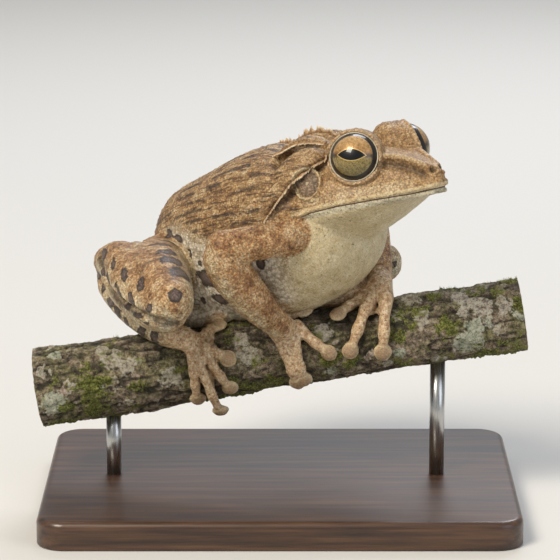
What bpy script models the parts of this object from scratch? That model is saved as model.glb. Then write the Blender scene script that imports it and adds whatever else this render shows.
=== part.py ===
"""Life-size still model of a file-eared tree frog that grips a short cut branch on a display stand.

Shapes are worked out in millimetres from the perch point, which is the middle of the branch, and
become metres when a mesh is made. +X runs along the branch, +Y is behind it and +Z is up. The
origin of the finished part is the middle of the underside of the stand's base.
"""

import math

import bmesh
import bpy
import numpy as np

MM = 0.001
GAP = 0.3
PERCH_HEIGHT = 33.0

# The frog's stance. The vent and the snout tip lie in the plane that halves the animal.
BODY_YAW = math.radians(-38)
HEAD_YAW = math.radians(-43)
HEAD_PITCH = math.radians(13.5)
VENT = np.array([-25.9, 24.4, 0.0])
SNOUT = np.array([33.0, -21.6, 41.8])
NECK_BACK = 29.5
JAW_BACK = 24.0

# The branch and its stand
BRANCH_SLOPE = math.radians(9.07)
BRANCH_REACH = 52.0
BRANCH_RADIUS = 8.1
BRANCH_TAPER = 0.0085
ROD_RADIUS = 1.6
ROD_OFFSETS = {"stand_rod_left": -36.0, "stand_rod_right": 34.0}
BASE_SIZE = (100.0, 72.0, 6.0)

# Sizes of the head's own parts
EYE_RADIUS = 5.35
EYE_BACK = 15.7
EYE_SIDE = 7.6
EYE_HEIGHT = 6.7
EYE_FORWARD = math.radians(33)
EYE_LIFT = math.radians(12)
LID_RADIUS = 4.85
LID_THICKNESS = 0.45
BROW_SIZE = (5.9, 5.7, 4.6)
MOUND_SIZE = (6.15, 6.15, 5.4)
EAR_BACK = 24.3
EAR_SIDE = 13.9
EAR_HEIGHT = 3.2
EAR_LONG = 3.0
EAR_SHORT = 2.45
EAR_DEEP = 0.9
EAR_SUNK = 0.25
CUP_WIDTH = 0.55
CUP_THICKNESS = 0.42
LIP_THICKNESS = 0.5
NOSTRIL = (1.2, 1.2, 1.9)
NOSTRIL_SIZE = (0.42, 0.5, 0.42)
MOUTH_CORNER = (27.4, 15.0, -3.0)
CORNER_SIZE = (2.2, 1.6, 1.4)

# Thin skin between the digits
WEB_LIFT = 0.95
WEB_THICKNESS = 0.56


def unit(vector):
    vector = np.asarray(vector, float)
    return vector / np.linalg.norm(vector, axis=-1, keepdims=True)


def smooth(keys, per_span):
    """Points of a Catmull-Rom curve through the keys, with per_span steps between neighbours."""
    keys = np.asarray(keys, float)
    padded = np.vstack([2 * keys[0] - keys[1], keys, 2 * keys[-1] - keys[-2]])
    t = (np.arange(per_span) / per_span)[:, None]
    spans = []
    for a, b, c, d in zip(padded[:-3], padded[1:-2], padded[2:-1], padded[3:]):
        spans.append(
            b
            + 0.5 * t * (c - a)
            + t**2 * (a - 2.5 * b + 2 * c - 0.5 * d)
            + t**3 * (-0.5 * a + 1.5 * b - 1.5 * c + 0.5 * d)
        )
    return np.vstack(spans + [keys[-1:]])


def skin_rings(rings, first, last):
    """Points and faces of a closed tube through rings of equal length, with a pole at each end."""
    count, sides = rings.shape[:2]
    points = np.vstack([rings.reshape(-1, 3), first, last])
    faces = []
    for r in range(count - 1):
        for s in range(sides):
            a = r * sides + s
            b = r * sides + (s + 1) % sides
            faces.append((a, b, b + sides, a + sides))
    low = (count - 1) * sides
    for s in range(sides):
        faces.append((count * sides, (s + 1) % sides, s))
        faces.append((count * sides + 1, low + s, low + (s + 1) % sides))
    return points, faces


def sweep(keys, up, sides=12, per_span=3, grow=0.0, cap=1.0, square=2.0, cap_rings=2):
    """A tube whose keys are (x, y, z, half width, half height); its ends are domes.

    up is the direction that the half height is measured in, or works it out from the path, and
    square over 2 makes the section boxier.
    """
    keys = np.asarray(keys, float)
    curve = smooth(keys, per_span)
    path, wide, high = curve[:, :3], curve[:, 3] + grow, curve[:, 4] + grow
    along = unit(np.gradient(path, axis=0))
    above = up(path) if callable(up) else np.broadcast_to(np.asarray(up, float), along.shape)
    side = unit(np.cross(above, along))
    top = np.cross(along, side)
    angle = 2 * math.pi * np.arange(sides) / sides
    across = np.sign(np.cos(angle)) * np.abs(np.cos(angle)) ** (2 / square)
    upward = np.sign(np.sin(angle)) * np.abs(np.sin(angle)) ** (2 / square)

    def ring(k, shift, scale):
        middle = path[k] + along[k] * shift
        return (
            middle
            + np.outer(across * wide[k] * scale, side[k])
            + np.outer(upward * high[k] * scale, top[k])
        )

    dome = [math.radians(90 * j / (cap_rings + 1)) for j in range(cap_rings, 0, -1)]
    first, last = cap if isinstance(cap, tuple) else (cap, cap)
    start, end = min(wide[0], high[0]) * first, min(wide[-1], high[-1]) * last
    rings = [ring(0, -start * math.sin(a), math.cos(a)) for a in dome]
    rings += [ring(k, 0.0, 1.0) for k in range(len(path))]
    rings += [ring(-1, end * math.sin(a), math.cos(a)) for a in reversed(dome)]
    return skin_rings(
        np.array(rings), path[0] - along[0] * start, path[-1] + along[-1] * end
    )


def ball(centre, axes, radii, sides=14, rings=8):
    """An ellipsoid whose half axes have the given directions and lengths."""
    axes, radii = np.asarray(axes, float), np.asarray(radii, float)
    angle = 2 * math.pi * np.arange(sides) / sides
    hoops = []
    for r in range(1, rings):
        tilt = math.pi * r / rings
        hoop = np.stack(
            [
                math.sin(tilt) * np.cos(angle),
                math.sin(tilt) * np.sin(angle),
                np.full(sides, -math.cos(tilt)),
            ],
            axis=1,
        )
        hoops.append(centre + (hoop * radii) @ axes)
    tip = radii[2] * axes[2]
    return skin_rings(np.array(hoops), centre - tip, centre + tip)


def hoop(centre, normal, first, radii, thick, sides=24, rounds=6):
    """A torus round an ellipse: first is the ellipse's first half axis, and thick its tube radius."""
    second = np.cross(normal, first)
    turn = 2 * math.pi * np.arange(sides) / sides
    wrap = 2 * math.pi * np.arange(rounds) / rounds
    points = []
    for a in turn:
        out = unit(math.cos(a) * first * radii[0] + math.sin(a) * second * radii[1])
        middle = centre + math.cos(a) * first * radii[0] + math.sin(a) * second * radii[1]
        points += [middle + thick * (math.cos(w) * out + math.sin(w) * normal) for w in wrap]
    faces = []
    for i in range(sides):
        for j in range(rounds):
            a, b = i * rounds + j, i * rounds + (j + 1) % rounds
            c, d = (i + 1) % sides * rounds + (j + 1) % rounds, (i + 1) % sides * rounds + j
            faces.append((a, b, c, d))
    return np.array(points), faces


def prism(outline, low, high, place):
    """A solid between two copies of an outline of (x, z) pairs, at y = low and y = high."""
    count = len(outline)
    points = [place(x, low, z) for x, z in outline] + [place(x, high, z) for x, z in outline]
    faces = [tuple(range(count)), tuple(reversed(range(count, 2 * count)))]
    faces += [(i, i + count, (i + 1) % count + count, (i + 1) % count) for i in range(count)]
    return np.array(points), faces


# Frames of the body, the head and the branch


def axes_of(yaw, pitch):
    """Forward, left and up of a part that faces along yaw and is pitched up."""
    forward = np.array(
        [math.cos(yaw) * math.cos(pitch), math.sin(yaw) * math.cos(pitch), math.sin(pitch)]
    )
    left = np.array([-math.sin(yaw), math.cos(yaw), 0.0])
    return forward, left, np.cross(forward, left)


BODY_AXES = axes_of(BODY_YAW, 0.0)
HEAD_AXES = axes_of(HEAD_YAW, HEAD_PITCH)


def in_body(ahead, left, height):
    """A point from the vent: so far ahead, so far to the frog's left, at a height over the perch."""
    return VENT + ahead * BODY_AXES[0] + left * BODY_AXES[1] + height * BODY_AXES[2]


def in_head(back, left, height):
    """A point from the snout tip, measured back along the head, to its left and up."""
    return SNOUT - back * HEAD_AXES[0] + left * HEAD_AXES[1] + height * HEAD_AXES[2]


def branch_radius(along):
    return BRANCH_RADIUS - BRANCH_TAPER * along


def on_branch(along, around, lift):
    """A point over the bark: along the branch, degrees round from its top to the front, and lift."""
    turn = math.radians(around)
    reach = branch_radius(along) + lift
    axis = np.array([math.cos(BRANCH_SLOPE), 0.0, math.sin(BRANCH_SLOPE)])
    crown = np.array([-math.sin(BRANCH_SLOPE), 0.0, math.cos(BRANCH_SLOPE)])
    front = np.array([0.0, -1.0, 0.0])
    return along * axis + reach * (math.cos(turn) * crown + math.sin(turn) * front)


# Objects, joins and cuts


def material(name, colour, roughness, metallic=0.0):
    made = bpy.data.materials.new(name)
    made.use_nodes = True
    shader = made.node_tree.nodes["Principled BSDF"]
    shader.inputs["Base Color"].default_value = (*colour, 1.0)
    shader.inputs["Roughness"].default_value = roughness
    shader.inputs["Metallic"].default_value = metallic
    return made


def solid(name, shape, scale=MM):
    """One mesh object from points and faces in millimetres."""
    points, faces = shape
    mesh = bpy.data.meshes.new(name)
    lifted = (np.asarray(points) + np.array([0.0, 0.0, PERCH_HEIGHT])) * scale
    mesh.from_pydata(lifted.tolist(), [], [tuple(f) for f in faces])
    made = bmesh.new()
    made.from_mesh(mesh)
    bmesh.ops.recalc_face_normals(made, faces=made.faces)
    if made.calc_volume(signed=True) < 0:
        bmesh.ops.reverse_faces(made, faces=made.faces)
    bmesh.ops.triangulate(made, faces=made.faces)
    made.to_mesh(mesh)
    made.free()
    thing = bpy.data.objects.new(name, mesh)
    bpy.context.scene.collection.objects.link(thing)
    return thing


def apply_modifiers(thing):
    graph = bpy.context.evaluated_depsgraph_get()
    mesh = bpy.data.meshes.new_from_object(thing.evaluated_get(graph))
    thing.modifiers.clear()
    thing.data = mesh


def keep_largest(thing):
    """Removes all but the largest closed surface."""
    made = bmesh.new()
    made.from_mesh(thing.data)
    left, islands = set(made.verts), []
    while left:
        island, edge = set(), [left.pop()]
        while edge:
            vert = edge.pop()
            island.add(vert)
            for link in vert.link_edges:
                other = link.other_vert(vert)
                if other in left:
                    left.remove(other)
                    edge.append(other)
        islands.append(island)
    if len(islands) > 1:

        def room(island):
            corners = np.array([v.co[:] for v in island])
            return np.prod(corners.max(0) - corners.min(0))

        islands.sort(key=room)
        for island in islands[:-1]:
            bmesh.ops.delete(made, geom=list(island), context="VERTS")
        made.to_mesh(thing.data)
    made.free()


def discard(things):
    for thing in things:
        bpy.data.objects.remove(thing)


def unite(name, shapes):
    """One closed object from overlapping shapes."""
    first, *others = [solid(name if i == 0 else f"{name}_{i}", s) for i, s in enumerate(shapes)]
    if others:
        group = bpy.data.collections.new(name)
        bpy.context.scene.collection.children.link(group)
        for other in others:
            group.objects.link(other)
        join = first.modifiers.new("join", "BOOLEAN")
        join.operation = "UNION"
        join.solver = "MANIFOLD"
        join.operand_type = "COLLECTION"
        join.collection = group
        apply_modifiers(first)
        discard(others)
        bpy.data.collections.remove(group)
        keep_largest(first)
    return first


def carve(thing, shapes, operation="DIFFERENCE"):
    """Cuts shapes from a thing, or keeps only what lies inside them."""
    for shape in shapes:
        cutter = solid("cutter", shape)
        cutter.hide_render = True
        cutter.display_type = "WIRE"
        cut = thing.modifiers.new("cut", "BOOLEAN")
        cut.operation = operation
        cut.solver = "MANIFOLD"
        cut.object = cutter
        apply_modifiers(thing)
        discard([cutter])
    keep_largest(thing)
    return thing


# The torso and the head, one above the other at the neck

SPINE = (
    # ahead of the vent, height of the middle, half width, half height
    (0.5, 15.5, 4.0, 4.0),
    (5.0, 15.2, 8.8, 8.8),
    (12.0, 16.9, 13.2, 14.2),
    (24.0, 21.3, 16.4, 17.2),
    (36.0, 26.6, 17.0, 18.0),
    (45.0, 31.0, 15.2, 15.4),
    (50.0, 35.2, 11.8, 7.6),
)

HEAD_STATIONS = (
    # back, half width of the crown, crown and edge heights, half width and height of the lip,
    # half width of the jaw, height of the chin
    (0.3, 1.2, 1.4, 0.9, 1.7, -1.7, 1.1, -2.5),
    (1.8, 1.9, 3.0, 2.4, 3.2, -1.9, 2.5, -2.9),
    (4.6, 2.6, 4.4, 3.9, 5.3, -2.0, 4.6, -3.4),
    (9.0, 4.2, 6.2, 6.0, 7.9, -2.0, 7.4, -4.2),
    (13.0, 5.5, 7.8, 7.6, 10.2, -2.0, 9.7, -6.2),
    (18.0, 7.0, 9.2, 8.4, 13.0, -2.1, 12.2, -8.8),
    (24.0, 8.4, 10.4, 8.0, 15.2, -2.4, 13.6, -11.2),
    (30.0, 9.4, 11.0, 7.6, 15.8, -3.2, 14.2, -13.4),
    (36.0, 10.0, 10.8, 7.0, 15.6, -4.6, 14.6, -16.5),
)

# Serrated skin crests: (ahead of the vent, to the side, height)
CRESTS = {
    "over_ear": {
        "way": (
            (51.6, 7.6, 44.6),
            (50.2, 9.8, 43.6),
            (48.4, 11.4, 42.0),
            (46.4, 13.2, 39.8),
            (44.6, 14.6, 37.0),
            (42.6, 15.8, 34.0),
            (41.2, 16.4, 31.0),
        ),
        "lean": (0.85, 0.5),
        "height": 1.5,
        "spacing": 1.8,
        "sides": (-1, 1),
        "end": 1.0,
        "root": 1.3,
    },
    "upper": {
        "way": (
            (49.0, 5.4, 45.5),
            (46.0, 5.9, 45.7),
            (43.0, 6.8, 45.1),
            (39.8, 7.9, 43.9),
            (36.0, 8.6, 42.3),
            (30.4, 8.8, 40.1),
        ),
        "lean": (0.4, 0.92),
        "height": 2.0,
        "spacing": 1.8,
        "sides": (-1, 1),
        "end": 0.74,
        "root": 1.3,
    },
    "middle": {
        "way": (
            (49.4, 0.0, 47.7),
            (46.0, 0.0, 47.9),
            (43.0, 0.0, 47.5),
            (40.0, 0.0, 46.3),
            (36.5, 0.0, 44.9),
            (33.0, 0.0, 43.4),
        ),
        "lean": (0.0, 1.0),
        "height": 2.4,
        "spacing": 1.8,
        "sides": (1,),
        "end": 1.0,
        "root": 2.9,
    },
}
CANTHUS = ((12.6, 6.3, 6.2), (9.7, 4.8, 6.0), (7.2, 3.4, 5.3), (4.8, 2.3, 4.1), (2.4, 1.5, 2.7))


def torso_shape(grow=0.0):
    keys = [(*in_body(ahead, 0.0, height), wide, high) for ahead, height, wide, high in SPINE]
    return sweep(keys, BODY_AXES[2], sides=20, per_span=2, grow=grow, cap=(0.8, 0.3), square=2.35)


def head_shape(per_span=2, per_side=2):
    """The head as rings through a half outline of nine points at each station, mirrored."""
    rings = []
    for back, crown, top, edge, lip, mouth, jaw, chin in smooth(HEAD_STATIONS, per_span):
        cheek = 0.58 + 0.27 * min(1.0, max(0.0, (back - 12) / 10))
        deep = 0.62 - 0.2 * min(1.0, max(0.0, (back - 12) / 8))
        half = [
            (0.0, top),
            (0.55 * crown, top - 0.1 * (top - edge)),
            (crown, edge),
            ((1 - cheek) * crown + cheek * lip - 0.5, 0.5 * edge + 0.5 * mouth),
            (lip, mouth + 1.1),
            (lip - 0.15, mouth - 0.5),
            (jaw - 0.4, mouth - 0.3 * (mouth - chin) - 0.6),
            (deep * jaw, mouth - 0.82 * (mouth - chin)),
            (0.0, chin),
        ]
        loop = half + [(-y, z) for y, z in reversed(half[1:-1])]
        loop = smooth([loop[-1], *loop, loop[0], loop[1]], per_side)
        loop = loop[per_side : -2 * per_side]
        slant = 0.45 * math.exp(-back / 4)
        rings.append([in_head(back + slant * max(0.0, -1.3 - z), y, z) for y, z in loop])
    rings = np.array(rings)
    return skin_rings(rings, in_head(-0.1, 0, -0.6), in_head(36.5, 0, -2.0))


def crest_shape(crest, side, rng):
    """A thin blade of skin with a saw edge; its foot is sunk in the body."""
    way = smooth([in_body(a, side * b, c) for a, b, c in crest["way"]], 6)
    steps = np.linalg.norm(np.diff(way, axis=0), axis=1)
    walked = np.concatenate([[0.0], np.cumsum(steps)])
    teeth = int(crest["end"] * walked[-1] / crest["spacing"])
    lean = unit(crest["lean"][0] * side * BODY_AXES[1] + crest["lean"][1] * BODY_AXES[2])
    rings = []
    for tooth in range(teeth):
        size = crest["height"] * rng.uniform(0.75, 1.15)
        size *= 0.55 + 0.45 * math.sin(math.pi * (tooth + 0.6) / (teeth + 0.2))
        for part, stand in ((0.0, 0.25), (0.62, 1.0)):
            reach = (tooth + part + rng.uniform(-0.06, 0.06)) * crest["spacing"]
            place = np.array([np.interp(reach, walked, way[:, i]) for i in range(3)])
            onward = np.array([np.interp(reach + 0.5, walked, way[:, i]) for i in range(3)])
            run = unit(onward - place + 1e-6 * BODY_AXES[0])
            flat = unit(np.cross(run, lean))
            top = place + (lean * size + run * 0.35) * stand
            low = place - lean * crest["root"]
            edge = 0.16 if stand == 1.0 else 0.24
            rings.append([low + flat * 0.75, top + flat * edge, top - flat * edge, low - flat * 0.75])
    rings = np.array(rings)
    return skin_rings(rings, rings[0].mean(0), rings[-1].mean(0))


def lip_shape(height, inset, thick=LIP_THICKNESS):
    """A roll of skin along the mouth from one corner round the snout to the other."""
    half = [
        (back, lip - inset, mouth + height)
        for back, _, _, _, lip, mouth, _, _ in HEAD_STATIONS
        if 1 < back < JAW_BACK + 1
    ]
    around = [(b, -y, z) for b, y, z in reversed(half)]
    around += [(1.5, 0.0, half[0][2]), *half]
    keys = [(*in_head(*place), thick, thick) for place in around]
    return sweep(keys, HEAD_AXES[2], sides=6, per_span=1, cap_rings=1)


def canthus_shape(side):
    """The raised edge of the snout from the eye to the nostril."""
    keys = [(*in_head(a, side * b, c), 0.75, 0.75) for a, b, c in CANTHUS]
    return sweep(keys, HEAD_AXES[2], sides=6, per_span=1, cap_rings=1)


def neck_half(front, grow=0.0):
    """Everything in front of the neck's plane, or behind it, as a block."""
    reach = 70.0
    low, high = (-30.0, NECK_BACK - grow) if front else (NECK_BACK + grow, 120.0)
    outline = [(low, -reach), (high, -reach), (high, reach), (low, reach)]
    return prism(outline, -reach, reach, in_head)


def jaw_block(grow=0.0):
    """The space of the lower jaw, under the mouth line and in front of the throat's fold."""
    line = [
        (-8.0, -1.75),
        (0.5, -1.75),
        (5.0, -2.0),
        (12.0, -2.0),
        (18.0, -2.1),
        (JAW_BACK, -2.6),
        (JAW_BACK + 1.2, -5.0),
        (JAW_BACK - 2.0, -40.0),
        (-8.0, -40.0),
    ]
    grown = []
    for i, (x, z) in enumerate(line):
        if i < 6:
            z += grow
        if 5 <= i <= 7:
            x += grow
        grown.append((x, z))
    return prism(grown, -40.0, 40.0, in_head)


def eye_frame(side):
    """Centre and axes of an eyeball: first forward, second up and third out through the pupil."""
    centre = in_head(EYE_BACK, side * EYE_SIDE, EYE_HEIGHT)
    forward, left, up = HEAD_AXES
    flat = math.cos(EYE_FORWARD) * side * left + math.sin(EYE_FORWARD) * forward
    out = unit(math.cos(EYE_LIFT) * flat + math.sin(EYE_LIFT) * up)
    ahead = unit(forward - np.dot(forward, out) * out)
    return centre, np.array([ahead, np.cross(out, ahead), out])


def eyelid_shapes(centre, axes):
    """The rim of the lids, the mound that the eye sits in and the brow over it."""
    rim = centre + axes[2] * (math.sqrt(EYE_RADIUS**2 - LID_RADIUS**2) - 0.2)
    brow = centre - 2.4 * axes[2] + 0.9 * HEAD_AXES[2]
    return [
        ball(brow, axes, BROW_SIZE, 10, 6),
        hoop(rim, axes[2], axes[0], (LID_RADIUS + 0.5,) * 2, LID_THICKNESS, 16, 4),
        ball(centre - 0.6 * axes[2], axes, MOUND_SIZE, 12, 6),
    ]


def ear_frame(side):
    """Centre and axes of an eardrum on the side of the head, behind and under the eye."""
    centre = in_head(EAR_BACK, side * EAR_SIDE, EAR_HEIGHT)
    forward, left, up = HEAD_AXES
    out = unit(side * left + 0.25 * forward + 0.3 * up)
    long = unit(up + 0.28 * forward - np.dot(up + 0.28 * forward, out) * out)
    return centre, np.array([long, np.cross(out, long), out])


# Limbs: each bone's keys are (x, y, z, half width, half height) from the perch point

LIMBS = {
    "upper_arm_right": (
        (8.0, -8.0, 30.0, 3.6, 3.8),
        (2.0, -15.5, 28.5, 3.8, 3.8),
        (-6.0, -19.0, 27.5, 3.7, 3.7),
        (-11.6, -20.0, 26.6, 3.7, 3.9),
    ),
    "forearm_right": (
        (-12.3, -20.0, 25.6, 3.9, 3.9),
        (-10.2, -19.0, 21.5, 4.5, 4.4),
        (-6.0, -16.4, 15.5, 4.3, 4.0),
        (-1.9, -13.0, 10.3, 3.2, 3.1),
        (0.4, -10.4, 7.8, 2.9, 2.9),
    ),
    "upper_arm_left": (
        (17.0, -2.0, 31.0, 3.4, 3.6),
        (19.5, 6.0, 29.5, 3.5, 3.5),
        (20.0, 13.0, 27.6, 3.4, 3.4),
        (19.8, 19.0, 26.2, 3.3, 3.5),
    ),
    "forearm_left": (
        (19.6, 20.0, 25.2, 3.4, 3.4),
        (19.9, 17.0, 22.4, 3.7, 3.7),
        (20.5, 10.5, 18.0, 3.5, 3.5),
        (21.2, 3.5, 13.6, 2.8, 2.8),
        (21.6, 0.6, 11.8, 2.6, 2.6),
    ),
    "thigh_right": (
        (-24.6, 9.5, 16.4, 6.8, 7.0),
        (-25.8, 2.5, 16.8, 7.0, 7.1),
        (-25.4, -8.0, 17.4, 6.7, 6.9),
        (-23.4, -18.0, 16.8, 5.7, 5.9),
        (-21.8, -25.0, 16.6, 4.3, 4.5),
    ),
    "shank_right": (
        (-22.6, -25.4, 14.8, 4.2, 4.2),
        (-25.6, -19.0, 14.6, 5.4, 5.2),
        (-30.2, -9.0, 16.8, 5.9, 5.9),
        (-33.6, 0.5, 18.8, 4.9, 5.0),
        (-36.4, 6.5, 18.0, 3.4, 3.5),
    ),
    "tarsus_right": (
        (-36.4, 7.6, 15.4, 2.9, 3.0),
        (-35.6, 5.6, 12.6, 3.1, 3.1),
        (-32.6, 1.6, 9.6, 3.1, 3.0),
        (-28.4, -3.6, 7.1, 2.9, 2.8),
        (-24.0, -7.0, 5.6, 2.7, 2.7),
        (-20.2, -8.4, 4.9, 2.6, 2.6),
    ),
    "thigh_left": (
        (-8.0, 23.2, 19.9, 7.2, 7.5),
        (-1.0, 24.4, 19.2, 7.4, 7.6),
        (10.0, 25.0, 17.0, 6.2, 6.4),
        (19.0, 24.6, 14.8, 4.8, 5.0),
        (22.6, 24.2, 13.8, 4.2, 4.3),
    ),
    "shank_left": (
        (21.6, 25.6, 12.0, 4.0, 4.0),
        (15.0, 28.0, 11.8, 5.0, 5.0),
        (5.0, 30.0, 13.0, 5.5, 5.4),
        (-5.0, 31.0, 14.6, 4.2, 4.3),
        (-9.6, 31.2, 15.4, 3.3, 3.4),
    ),
    "tarsus_left": (
        (-9.8, 30.2, 13.8, 2.9, 3.0),
        (-6.0, 25.6, 11.2, 3.1, 3.0),
        (-2.0, 19.0, 8.6, 2.8, 2.7),
        (1.0, 12.4, 6.4, 2.6, 2.6),
    ),
}

# Digits: the root and the pads are (along the branch, degrees round to the front, lift off it)

FEET = {
    "foot_right": {
        "heel": (-18.8, 46.0, 3.3),
        "sole": (-16.6, 55.0, 1.9),
        "heel_size": 2.4,
        "sole_size": (3.3, 1.5),
        "digits": (
            ((-16.0, 44.0), (-11.9, 22.0, 1.2)),
            ((-14.9, 56.0), (-10.7, 75.0, 1.2)),
            ((-15.4, 62.0), (-11.35, 117.0, 1.2)),
            ((-17.0, 66.0), (-14.2, 145.0, 3.2)),
            ((-18.2, 62.0), (-18.5, 128.0, 1.2)),
        ),
        "pad": 1.8,
        "shaft": 1.02,
        "webs": 0.8,
    },
    "foot_left": {
        "heel": (2.6, -62.0, 4.4),
        "sole": (6.6, -44.0, 1.9),
        "heel_size": 2.4,
        "sole_size": (3.1, 1.5),
        "digits": (
            ((8.0, -36.0), (11.0, -22.0, 1.2)),
            ((8.4, -44.0), (14.0, -50.0, 1.2)),
            ((8.0, -52.0), (14.5, -84.0, 1.2)),
            ((6.6, -56.0), (10.5, -116.0, 1.4)),
            ((5.0, -54.0), (6.0, -108.0, 1.2)),
        ),
        "pad": 1.8,
        "shaft": 1.02,
        "webs": 0.8,
    },
    "hand_right": {
        "heel": (0.1, 44.0, 4.4),
        "sole": (2.6, 58.0, 2.1),
        "heel_size": 2.6,
        "sole_size": (3.3, 1.8),
        "digits": (
            ((0.8, 30.0), (6.4, 20.0, 1.3)),
            ((4.4, 48.0), (10.4, 88.5, 1.3)),
            ((3.4, 66.0), (4.5, 121.0, 1.5)),
            ((1.2, 66.0), (2.2, 125.0, 1.5)),
        ),
        "pad": 1.92,
        "shaft": 1.2,
        "webs": 0.35,
    },
    "hand_left": {
        "heel": (23.4, -3.0, 3.4),
        "sole": (21.8, 14.0, 2.1),
        "heel_size": 2.5,
        "sole_size": (3.4, 1.7),
        "digits": (
            ((20.0, 2.0), (9.6, -2.0, 1.3)),
            ((20.2, 10.0), (13.5, 36.0, 1.3)),
            ((20.8, 22.0), (14.9, 90.0, 1.3)),
            ((24.0, 26.0), (21.6, 99.0, 1.3)),
        ),
        "pad": 1.92,
        "shaft": 1.2,
        "webs": 0.35,
    },
}


def off_bark(path):
    """The direction straight off the bark at each point of a path."""
    axis = on_branch(1.0, 0.0, -branch_radius(1.0))
    return path - np.outer(path @ axis, axis)


def limb_shape(name, grow=0.0):
    return sweep(LIMBS[name], (0.05, 0.1, 1.0), 9, 2, grow, cap=(0.6, 1.0), cap_rings=1)


def digit_keys(foot, index):
    """A digit's way from the sole to its pad, in branch measures."""
    root, pad = foot["digits"][index]
    start, end = np.array([*root, 1.35 * foot["shaft"] + 0.4]), np.array(pad, float)
    return [tuple(start + (end - start) * t) for t in (0.0, 0.35, 0.62, 0.85, 1.0)]


def digit_shapes(foot, index, grow=0.0):
    """A finger or toe with its knuckles, and the round disc at its tip."""
    shaft = foot["shaft"]
    ways = digit_keys(foot, index)
    wide = (1.35, 1.1, 1.15, 0.88, 0.8)
    keys = []
    for (along, around, lift), width in zip(ways, wide):
        keys.append((*on_branch(along, around, lift), shaft * width, shaft * width))
    shapes = [sweep(keys, off_bark, 6, 1, grow, cap=0.8, cap_rings=1)]
    tip = np.array(keys[-1][:3])
    outward = unit(off_bark(tip[None])[0])
    ahead = tip - np.array(keys[-2][:3])
    ahead = unit(ahead - np.dot(ahead, outward) * outward)
    axes = np.array([ahead, np.cross(outward, ahead), outward])
    pad = foot["pad"]
    size = np.array([pad * 1.05, pad, 0.95]) + grow
    shapes.append(ball(tip, axes, size, sides=8, rings=4))
    return shapes


def web_shape(foot, index, steps=2):
    """The thin skin between two neighbouring digits, with a hollow free edge."""
    first, second = (np.array(digit_keys(foot, i)) for i in (index, index + 1))
    reach = foot["webs"]
    tops, lows = [], []
    for a in range(steps + 1):
        for b in range(steps + 1):
            across = b / steps
            far = reach * (1 - 0.45 * math.sin(math.pi * across))
            along = 0.05 + (far - 0.05) * a / steps
            start = first[0] + (first[-1] - first[0]) * along
            end = second[0] + (second[-1] - second[0]) * along
            place = start + (end - start) * across
            tops.append(on_branch(place[0], place[1], WEB_LIFT + WEB_THICKNESS / 2))
            lows.append(on_branch(place[0], place[1], WEB_LIFT - WEB_THICKNESS / 2))
    row = steps + 1
    low = len(tops)
    faces = []
    for a in range(steps):
        for b in range(steps):
            i = a * row + b
            faces += [(i, i + row, i + row + 1), (i, i + row + 1, i + 1)]
            faces += [(low + i, low + i + row + 1, low + i + row), (low + i, low + i + 1, low + i + row + 1)]
    rim = [i for i in range(row)]
    rim += [row * a + steps for a in range(1, row)]
    rim += [row * steps + b for b in range(steps - 1, -1, -1)]
    rim += [row * a for a in range(steps - 1, 0, -1)]
    for i, here in enumerate(rim):
        there = rim[(i + 1) % len(rim)]
        faces.append((here, there, low + there, low + here))
    return np.array(tops + lows), faces


def sole_shape(foot, grow=0.0):
    """The palm or sole, from the wrist or ankle down onto the bark."""
    size = foot["heel_size"]
    wide, high = foot["sole_size"]
    heel, sole = np.array(foot["heel"]), np.array(foot["sole"])
    keys = [
        (*on_branch(*heel), size, size * 0.95),
        (*on_branch(*(0.5 * (heel + sole))), wide * 0.95, high * 1.25),
        (*on_branch(*sole), wide, high),
    ]
    return sweep(keys, off_bark, sides=8, per_span=2, grow=grow, cap_rings=1)


def perch_shape(grow=0.0):
    """The cut length of branch, a little uneven and knotted."""
    rng = np.random.default_rng(7)
    sides, count = 18, 12
    angle = 2 * math.pi * np.arange(sides) / sides
    waves = rng.uniform(0, 2 * math.pi, 6)
    rings = []
    for along in np.linspace(-BRANCH_REACH, BRANCH_REACH, count):
        hoop_points = []
        for a in angle:
            bump = 0.18 * math.sin(2 * a + waves[0] + along * 0.07)
            bump += 0.14 * math.sin(3 * a + waves[1] - along * 0.16)
            bump += 0.12 * math.sin(along * 0.31 + waves[2]) + 0.08 * math.sin(5 * a + waves[3] + along * 0.4)
            hoop_points.append(on_branch(along, -math.degrees(a), bump - 0.45 + grow))
        rings.append(hoop_points)
    rings = np.array(rings)
    axis = on_branch(1.0, 0.0, -branch_radius(1.0))
    return skin_rings(rings, axis * (-BRANCH_REACH - grow), axis * (BRANCH_REACH + grow))


def rod_shape(name, grow=0.0):
    """An upright metal rod from the base up into the underside of the perch."""
    along = ROD_OFFSETS[name]
    foot = np.array([along * math.cos(BRANCH_SLOPE), 0.0, BASE_SIZE[2] + GAP - PERCH_HEIGHT])
    top = along * math.sin(BRANCH_SLOPE)
    radius = ROD_RADIUS + grow
    angle = 2 * math.pi * np.arange(16) / 16
    circle = np.stack([np.cos(angle), np.sin(angle), 0 * angle], axis=1)
    head = np.array([foot[0], foot[1], top])
    rings = np.array([foot + circle * radius, head + circle * radius])
    return skin_rings(rings, foot, head)


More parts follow.
